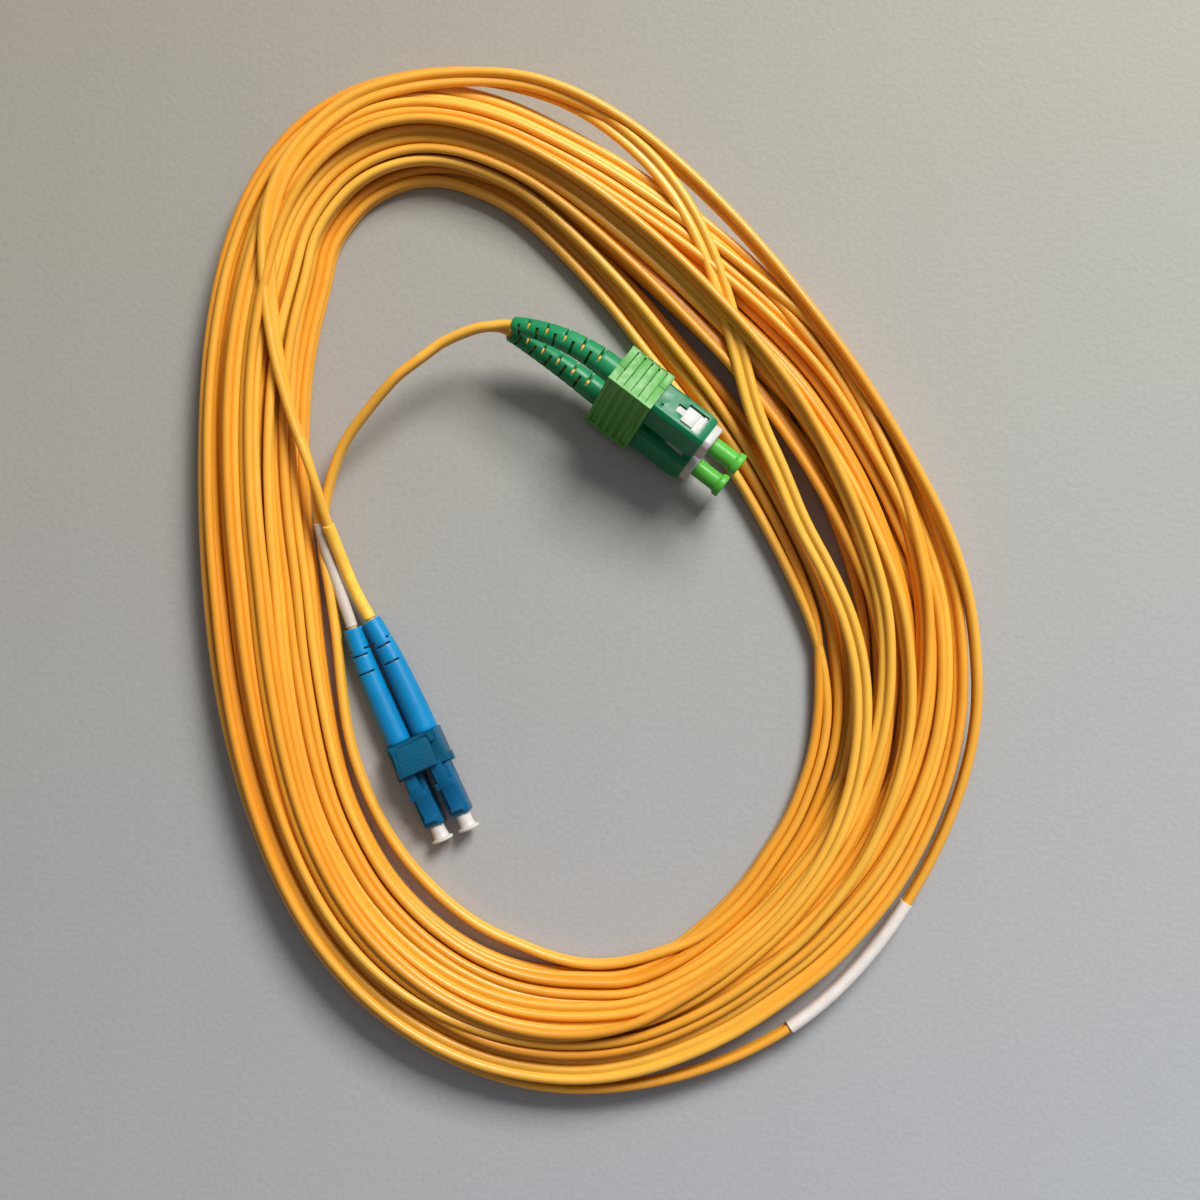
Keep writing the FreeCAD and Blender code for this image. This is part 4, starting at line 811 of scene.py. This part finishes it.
frame_white = moulded_plastic("frame_white", (0.50, 0.51, 0.48), (0.56, 0.57, 0.54), 0.38, glow=0.08)
for letter, y in SC_PAIR:
    solids = [bar(SC_FRAME_BAR, y, 0, SC_FRAME_CHAMFER)]
    for back, front, half_y, half_z in (SC_CATCH, SC_TONGUE, SC_WINDOW_BAR):
        solids.append(middle_block(back, front, y, half_y, half_z))
    cuts = [rod(2.5, -19, -4.2, y), rod(1.5, -5, -2.2, y), rod(2.45, -2.7, 3, y)]
    piece = assembled(f"sc_frame_{letter}", solids, cuts, SC_FRAME_ROUNDING, sc_place, frame_white)
    dress(piece, "cord_and_frames", "white", f"sc_frame_{letter}")

# SC housings: the dark green sliding grips, with a window on each narrow side for the catch and a
# stepped edge beside it. Both are held in one lime clip and slide together on the frames.
SC_GRIP_BAR = [(-22.5, 4.5, 3.7), (-1.5, 4.5, 3.7), (0, 4.2, 3.45)]
SC_GRIP_CHAMFER = 0.8
SC_CAVITY_BAR = [(-24, 3.85, 3.0), (2, 3.85, 3.0)]
SC_CAVITY_CHAMFER = 0.95
SC_WINDOW = (-6.7, -1.8, 9, 2.3)
SC_WINDOW_NOTCH = (-8.6, -6.6, 9, 0.95)
SC_BAR_ROOM = (-1.9, -0.5, 4.15, 2.25)
SC_STEP_FROM = -7.8
SC_STEP_TO = -0.9
SC_GRIP_ROUNDING = 0.14

grip_green = moulded_plastic("grip_green", (0.001, 0.155, 0.062), (0.002, 0.190, 0.080), 0.38)
for letter, y in SC_PAIR:
    cuts = [bar(SC_CAVITY_BAR, y, 0, SC_CAVITY_CHAMFER)]
    for back, front, half_y, half_z in (SC_WINDOW, SC_WINDOW_NOTCH, SC_BAR_ROOM):
        cuts.append(middle_block(back, front, y, half_y, half_z))
    for low_y in (y + 4.0, y - 6):
        cuts.append(block(SC_STEP_FROM, SC_STEP_TO, low_y, low_y + 2, -4.5, -2.85))
    cuts.append(rod(0.55, -11.6, -11.0, y + 4.6, 1.9))
    piece = assembled(f"sc_housing_{letter}", [bar(SC_GRIP_BAR, y, 0, SC_GRIP_CHAMFER)], cuts,
                      SC_GRIP_ROUNDING, sc_place, grip_green)
    dress(piece, "sc_grip", "green", f"sc_housing_{letter}")

# SC duplex clip: two lime halves snapped round both grips. Six ribs on the narrow faces, channels
# on the broad ones, and a joint between the halves that steps across the middle.
CLIP_BACK = -23.4
CLIP_FRONT = -12.6
CLIP_MIDDLE = -18.0
CLIP_HALF_ACROSS = 11.75
CLIP_HALF_THICK = 4.6
CLIP_STEP = 0.8
CLIP_RIB = 1.52
CLIP_PITCH = 1.84
CLIP_RIBS = 6
CLIP_JOINT = 0.06
CLIP_CHANNEL_DEPTH = 0.35
CLIP_SIDE_WALL = 0.7
CLIP_NEAR_WALL = 1.4
CLIP_RIM = 0.75
CLIP_BAND_HALF = 0.45
CLIP_OVERLAP = 0.3
CLIP_END_INSETS = (0, 0.3)
CLIP_INSETS = (0.75, 0.8)
CLIP_BAND_BEHIND = 0.8
CLIP_PLATE_OVERLAP = 0.1
CLIP_MOUTH = 3.0
CLIP_ROUNDING = 0.1


def clip_half(side):
    wide, far = CLIP_HALF_ACROSS, side * CLIP_HALF_THICK
    solids = []
    for index in range(CLIP_RIBS):
        at_end = index in (0, CLIP_RIBS - 1)
        front = CLIP_FRONT - index * CLIP_PITCH
        back = front - CLIP_RIB
        split = -CLIP_STEP if (front + back) / 2 > CLIP_MIDDLE else CLIP_STEP
        depth = sorted((split + side * CLIP_JOINT, far - side * CLIP_CHANNEL_DEPTH))
        if side > 0 and not at_end:
            for low_y in (-wide, wide - CLIP_SIDE_WALL):
                solids.append(block(back, front, low_y, low_y + CLIP_SIDE_WALL, -far, far))
        rib_inset, groove_inset = CLIP_END_INSETS if at_end else CLIP_INSETS
        solids.append(block(back, front, rib_inset - wide, wide - rib_inset, *depth))
        grooved = back - CLIP_OVERLAP if index < CLIP_RIBS - 1 else back
        solids.append(block(grooved, front - 0.02, groove_inset - wide, wide - groove_inset, *depth))
    plate = sorted((side * (CLIP_HALF_THICK - CLIP_CHANNEL_DEPTH - CLIP_PLATE_OVERLAP), far))
    solids.append(block(CLIP_FRONT - CLIP_RIM, CLIP_FRONT, -wide, wide, *plate))
    solids.append(block(CLIP_BACK, CLIP_BACK + CLIP_RIM, -wide, wide, *plate))
    solids.append(block(CLIP_BACK, CLIP_FRONT, -wide, CLIP_NEAR_WALL - wide, *plate))
    solids.append(block(CLIP_BACK, CLIP_FRONT, wide - CLIP_SIDE_WALL, wide, *plate))
    for index in range(1, CLIP_RIBS - 1):
        middle = CLIP_FRONT - index * CLIP_PITCH - CLIP_BAND_BEHIND
        solids.append(block(middle - CLIP_BAND_HALF, middle + CLIP_BAND_HALF, -wide, wide, *plate))
    return solids


clip_lime = moulded_plastic("clip_lime", (0.062, 0.305, 0.034), (0.088, 0.355, 0.050), 0.38)
for half_name, side in (("sc_clip_upper", 1), ("sc_clip_lower", -1)):
    cuts = []
    for letter, y in SC_PAIR:
        cuts.append(bar([(-22.5, 4.5, 3.7), (CLIP_FRONT + 1, 4.5, 3.7)], y, 0, SC_GRIP_CHAMFER))
        cuts.append(rod(CLIP_MOUTH, CLIP_BACK - 1, -22, y))
    piece = assembled(half_name, clip_half(side), cuts, CLIP_ROUNDING, sc_place, clip_lime)
    dress(piece, "sc_grip", "lime", half_name)

# SC dust caps: soft moulded lime plastic that lets a little light through, with a rim to pull on at
# the closed end, pushed over the ceramic ferrules. The profile is distance and radius.
SC_CAP_PROFILE = [(7.4, 1.28), (-0.35, 1.28), (-0.5, 1.42), (-0.5, 1.85), (-0.38, 1.97), (-0.1, 2.0),
                  (7.2, 2.02), (7.5, 2.12), (7.66, 2.35), (7.74, 2.5), (7.95, 2.6), (8.85, 2.6),
                  (9.04, 2.52), (9.1, 2.35), (9.1, 1.5), (8.95, 1.35)]
CAP_SIDES = 48


def turned(name, profile, y, place, material):
    turns = np.radians(np.arange(CAP_SIDES) * 360 / CAP_SIDES)
    rings = [[(x, y + radius * math.cos(turn), radius * math.sin(turn)) for turn in turns]
             for x, radius in profile]
    piece = closed_loft(name, in_plug(place, np.array(rings)) * MM)
    piece.data.materials.append(material)
    return piece


cap_lime = moulded_plastic("cap_lime", (0.075, 0.400, 0.040), (0.105, 0.480, 0.058), 0.34, glow=0.35)
for letter, y in SC_PAIR:
    piece = turned(f"sc_cap_{letter}", SC_CAP_PROFILE, y, sc_place, cap_lime)
    dress(piece, f"sc_cap_{letter}", "lime", f"sc_cap_{letter}")

# LC boots: long soft moulded sleeves of blue plastic, nearly straight, pushed over the crimp sleeves
# behind the clip, with two pairs of fine slots near the tail end
LC_BOOT_FRONT = -19.4
LC_BOOT_SLOTS = [(4.8, 90), (6.05, 0), (8.8, 90), (10.0, 0)]
LC_BOOT_SLOT_WIDTH = 0.36
LC_BOOT_SLOT_HALF_DEG = 50

boot_blue = moulded_plastic("boot_blue", (0.000, 0.190, 0.430), (0.000, 0.235, 0.520), 0.38)
for letter, y in LC_PAIR:
    boot_front = in_plug(lc_place, (LC_BOOT_FRONT, y, 0)) * MM
    axis_line = np.vstack([boot_front, lc_leg_lines[letter]])
    length = distance_near(axis_line, lc_boot_tips[letter]) / MM
    slots = [(length - from_tip - LC_BOOT_SLOT_WIDTH / 2, length - from_tip + LC_BOOT_SLOT_WIDTH / 2, facing)
             for from_tip, facing in reversed(LC_BOOT_SLOTS)]
    profile = [(0, 2.75), (0.2, 2.88), (6.0, 2.84), (16.0, 2.5), (length - 0.3, 2.12), (length, 1.98)]
    bore = [(0, 1.8), (5.0, 1.8), (6.0, 1.15), (length - 1, 1.15), (length, 1.3)]
    boot = slotted_boot(f"lc_boot_{letter}", axis_line, lc_place[1][2], profile, bore, slots,
                        LC_BOOT_SLOT_HALF_DEG, boot_blue)
    dress(boot, "cord_and_frames", "blue", f"lc_boot_{letter}")

# LC housings: small square bodies of moulded blue plastic with a bored nose, a lug above it that the
# latch springs from, and a round vent in the flank
LATCH_ROOT = (-1.5, 3.05)
LATCH_TAIL = (-12.9, 4.65)
LC_BODY_BAR = [(-14.0, 2.25, 2.25), (-0.35, 2.25, 2.25), (0, 2.05, 2.05)]
LC_FLANK = 2.25
LC_CHAMFER = 0.35
LC_ROUNDING = 0.12

housing_blue = moulded_plastic("housing_blue", (0.001, 0.085, 0.200), (0.002, 0.115, 0.260), 0.32)
for letter, y in LC_PAIR:
    flank = y + math.copysign(LC_FLANK, y)
    solids = [bar(LC_BODY_BAR, y, 0, LC_CHAMFER), block(-2.3, -0.7, y - 1.3, y + 1.3, 2.1, 2.65)]
    cuts = [rod(1.5, -15, -2.6, y), rod(0.95, -3, -1, y), rod(1.75, -1.4, 1, y),
            cross_rod(0.5, y - 2, y + 2, LATCH_ROOT[0], LATCH_ROOT[1]),
            cross_rod(0.6, flank - 0.6, flank + 0.6, -10, 0)]
    piece = assembled(f"lc_housing_{letter}", solids, cuts, LC_ROUNDING, lc_place, housing_blue)
    dress(piece, "cord_and_frames", "blue", f"lc_housing_{letter}")

# LC latches: a springy blue plastic lever over each housing, moulded with it and rooted at the nose,
# with two catch shoulders a third of the way back and a tail that the trigger presses down
LATCH_ROUNDING = 0.1

latch_slope = math.atan2(LATCH_TAIL[1] - LATCH_ROOT[1], LATCH_ROOT[0] - LATCH_TAIL[0])
latch_length = math.hypot(LATCH_TAIL[0] - LATCH_ROOT[0], LATCH_TAIL[1] - LATCH_ROOT[1])
for letter, y in LC_PAIR:
    solids = [block(-latch_length, -5.3, -1.3, 1.3, -0.3, 0.3), block(-5.6, 0, -1.1, 1.1, -0.3, 0.28),
              block(-6.8, -5.2, -2.0, 2.0, -0.4, 0.2), block(-6.7, -5.3, -1.25, 1.25, -0.8, 0.25),
              cross_rod(0.45, -1.3, 1.3, 0, 0)]
    piece = assembled(f"lc_latch_{letter}", solids, [], LATCH_ROUNDING, lc_place, housing_blue,
                      (LATCH_ROOT, latch_slope, y))
    dress(piece, f"lc_latch_{letter}", "blue", f"lc_latch_{letter}")

# LC duplex clip: a moulded teal body snapped over both housings' tails, with lugs on its flanks and
# ears that hold the trigger's pin
HINGE = (-18.0, 3.75)
CLIP_WIDE = 6.075
CLIP_BOTTOM = -2.75
CLIP_TOP = 3.0
EAR_ACROSS = 4.4
EAR_TOP = HINGE[1] + 0.7
PIN_RADIUS = 0.45
TEAL_ROUNDING = 0.14

clip_teal = moulded_plastic("clip_teal", (0.001, 0.075, 0.145), (0.002, 0.095, 0.180), 0.36)
middle_z = (CLIP_TOP + CLIP_BOTTOM) / 2
half_tall = (CLIP_TOP - CLIP_BOTTOM) / 2
solids = [bar([(-19.4, CLIP_WIDE, half_tall), (-12.0, CLIP_WIDE, half_tall)], 0, middle_z, 0.5)]
cuts = []
for sign in (-1, 1):
    flank, ear, y = sign * CLIP_WIDE, sign * EAR_ACROSS, sign * LC_HALF_PITCH
    solids.append(block(-13.5, -11.5, flank - 0.5, flank + 0.5, -1.0, 1.0))
    solids.append(block(HINGE[0] - 0.9, HINGE[0] + 0.9, ear - 0.45, ear + 0.45, 2.7, EAR_TOP))
    cuts.append(bar([(-14.05, 2.28, 2.28), (-11, 2.28, 2.28)], y, 0, LC_CHAMFER))
    cuts.append(rod(2.25, -15.5, -14.0, y))
    cuts.append(rod(1.75, -20.4, -15.0, y))
cuts.append(cross_rod(0.5, -6, 6, *HINGE))
piece = assembled("lc_clip", solids, cuts, TEAL_ROUNDING, lc_place, clip_teal)
dress(piece, "cord_and_frames", "teal", "lc_clip")

# Thumb trigger: a moulded teal plate with four low ribs for the thumb, which turns on its pin in the
# clip's ears and bears on both latches
TRIGGER_TIP = (-12.2, 5.95)
TRIGGER_RIBS = 4
TRIGGER_RIB_PITCH = 0.9
TRIGGER_ROUNDING = 0.12

trigger_slope = -math.atan2(TRIGGER_TIP[1] - HINGE[1], TRIGGER_TIP[0] - HINGE[0])
trigger_length = math.hypot(TRIGGER_TIP[0] - HINGE[0], TRIGGER_TIP[1] - HINGE[1])
solids = [block(0, trigger_length, -3.85, 3.85, -0.45, 0.45), cross_rod(PIN_RADIUS, -4.8, 4.8, 0, 0),
          block(1.2, trigger_length - 0.02, -4.75, -3.5, -0.43, 0.43)]
for index in range(TRIGGER_RIBS):
    near = trigger_length - TRIGGER_RIB_PITCH * (index + 1)
    solids.append(block(near, near + 0.4, -3.25, 3.25, 0.4, 0.49))
piece = assembled("lc_trigger", solids, [], TRIGGER_ROUNDING, lc_place, clip_teal, (HINGE, trigger_slope, 0))
dress(piece, "lc_trigger", "teal", "lc_trigger")

# LC dust caps: short moulded cups of soft white plastic with a thin flared rim, pushed over the
# ceramic ferrules. The profile is distance and radius.
LC_CAP_PROFILE = [(2.4, 0.66), (-0.2, 0.66), (-0.3, 0.8), (-0.3, 1.45), (-0.2, 1.56), (0.3, 1.6),
                  (2.0, 1.64), (2.85, 1.74), (2.99, 1.84), (3.05, 2.1), (3.09, 2.3), (3.18, 2.38),
                  (3.56, 2.38), (3.66, 2.32), (3.7, 2.2), (3.7, 1.5), (3.6, 1.35)]

cap_white = moulded_plastic("cap_white", (0.58, 0.56, 0.53), (0.65, 0.63, 0.60), 0.36, glow=0.20)
for letter, y in LC_PAIR:
    piece = turned(f"lc_cap_{letter}", LC_CAP_PROFILE, y, lc_place, cap_white)
    dress(piece, f"lc_cap_{letter}", "cap_white", f"lc_cap_{letter}")

# Inner parts, as the model has them, finished here as white ceramic ferrules, nickel flanges, steel
# springs and crimp sleeves, brass stop rings and rear bodies, and the buffered fibres
def turned_metal(name, dark, light, rough):
    material, tree, shader = node_tree(name)
    rings = add_noise(tree, 900, 4, stretch=(1, 1, 6))
    tree.links.new(add_ramp(tree, rings, [(0.3, dark), (0.7, light)]), shader.inputs["Base Color"])
    sheen = add_ramp(tree, rings, [(0.3, (rough,) * 3), (0.7, (rough + 0.12,) * 3)])
    tree.links.new(sheen, shader.inputs["Roughness"])
    shader.inputs["Metallic"].default_value = 1.0
    add_bump(tree, shader, rings, 0.15, 0.00005)
    return material


inner_finishes = {
    "ferrule": moulded_plastic("ceramic", (0.78, 0.77, 0.74), (0.84, 0.83, 0.81), 0.20, grain=0.03, glow=0.1),
    "flange": turned_metal("nickel", (0.50, 0.48, 0.45), (0.62, 0.60, 0.57), 0.25),
    "spring": turned_metal("spring_steel", (0.42, 0.42, 0.43), (0.55, 0.55, 0.56), 0.28),
    "stop_ring": turned_metal("brass", (0.60, 0.42, 0.16), (0.72, 0.52, 0.22), 0.30),
    "rear_body": turned_metal("rear_brass", (0.58, 0.41, 0.16), (0.70, 0.51, 0.22), 0.30),
    "crimp": turned_metal("crimp_steel", (0.46, 0.46, 0.45), (0.58, 0.58, 0.57), 0.34),
    "fibre": moulded_plastic("buffer", (0.74, 0.72, 0.68), (0.80, 0.78, 0.74), 0.38),
}
for node_name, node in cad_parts.items():
    kind = node_name.split("_", 1)[1].rsplit("_", 1)[0]
    if kind in inner_finishes and not node.hide_render:
        for material_slot in node.material_slots:
            material_slot.material = inner_finishes[kind]

# The floor, the light and the camera: a pale sheet under soft window light from the upper right. Its
# colour has painted light and shade: it is painted lighter and bluer towards the right and darker and
# warmer towards the top, standing in for the room's uneven light
FLOOR_HALF = 1.5
FLOOR_SPAN = 0.32
FLOOR_BELOW = 0.00002
# Painted light and shade on the floor: a turn in degrees, then the floor colour at the near and far end of
# that gradient; lighter and bluer towards the right, darker and warmer towards the top
FLOOR_PAINTED_LIGHT = [(0, (0.411, 0.414, 0.450), (0.480, 0.515, 0.585)),
                (-90, (0.955, 0.945, 0.915), (0.715, 0.650, 0.465))]

floor_mesh = bpy.data.meshes.new("floor")
floor_mesh.from_pydata([(-FLOOR_HALF, -FLOOR_HALF, 0), (FLOOR_HALF, -FLOOR_HALF, 0),
                        (FLOOR_HALF, FLOOR_HALF, 0), (-FLOOR_HALF, FLOOR_HALF, 0)], [], [(0, 1, 2, 3)])
floor = linked("floor", floor_mesh)
floor_material, tree, shader = node_tree("pale_floor")
where = tree.nodes.new("ShaderNodeTexCoord")
grain = add_noise(tree, 900, 4)
floor_grain_and_painted_light = add_ramp(tree, grain, [(0.3, (0.93, 0.93, 0.93)), (0.7, (1.0, 1.0, 1.0))])
# Each gradient paints light or shade into the floor's colour, multiplied over its fine grain
for turn_deg, near_painted_light, far_painted_light in FLOOR_PAINTED_LIGHT:
    turned_about = tree.nodes.new("ShaderNodeMapping")
    turned_about.inputs["Rotation"].default_value = (0, 0, math.radians(turn_deg))
    turned_about.inputs["Scale"].default_value = (1 / FLOOR_SPAN,) * 3
    turned_about.inputs["Location"].default_value = (0.5, 0, 0)
    gradient = tree.nodes.new("ShaderNodeTexGradient")
    tree.links.new(where.outputs["Object"], turned_about.inputs["Vector"])
    tree.links.new(turned_about.outputs["Vector"], gradient.inputs["Vector"])
    slope = add_ramp(tree, gradient.outputs["Fac"], [(0.0, near_painted_light), (1.0, far_painted_light)])
    floor_grain_and_painted_light = multiplied(tree, floor_grain_and_painted_light, slope)
tree.links.new(floor_grain_and_painted_light, shader.inputs["Base Color"])
shader.inputs["Roughness"].default_value = 0.6
add_bump(tree, shader, grain, 0.35, 0.0002)
floor.data.materials.append(floor_material)
floor.location.z = -FLOOR_BELOW


def aimed(obj, place, target):
    obj.location = place
    obj.rotation_euler = (Vector(target) - Vector(place)).to_track_quat("-Z", "Y").to_euler()


def soft_light(name, place, size, power, colour):
    lamp = bpy.data.lights.new(name, "AREA")
    lamp.shape = "SQUARE"
    lamp.size = size
    lamp.energy = power
    lamp.color = colour
    aimed(linked(name, lamp), place, (0, 0, 0))


soft_light("window_light", (0.56, 0.92, 1.02), 0.56, 29.0, (1.0, 0.975, 0.94))
world = bpy.data.worlds.new("room")
world.use_nodes = True
tree = world.node_tree
where = tree.nodes.new("ShaderNodeTexCoord")
facing = tree.nodes.new("ShaderNodeVectorMath")
facing.operation = "DOT_PRODUCT"
facing.inputs[1].default_value = (0.62, 0.62, 0.48)
tree.links.new(where.outputs["Generated"], facing.inputs[0])
room = add_ramp(tree, facing.outputs["Value"], [(0.0, (0.42, 0.42, 0.43)), (0.9, (1.20, 1.25, 1.32))])
tree.links.new(room, tree.nodes["Background"].inputs["Color"])
tree.nodes["Background"].inputs["Strength"].default_value = 0.33
bpy.context.scene.world = world

CAMERA_PLACE = (0.01237, -0.00315, 0.390)

camera = bpy.data.cameras.new("camera")
camera.sensor_width = 36.0
camera.lens = 53.8
camera.clip_start = 0.01
holder = linked("camera", camera)
holder.location = CAMERA_PLACE
bpy.context.scene.camera = holder
bpy.context.scene.view_settings.view_transform = "Standard"
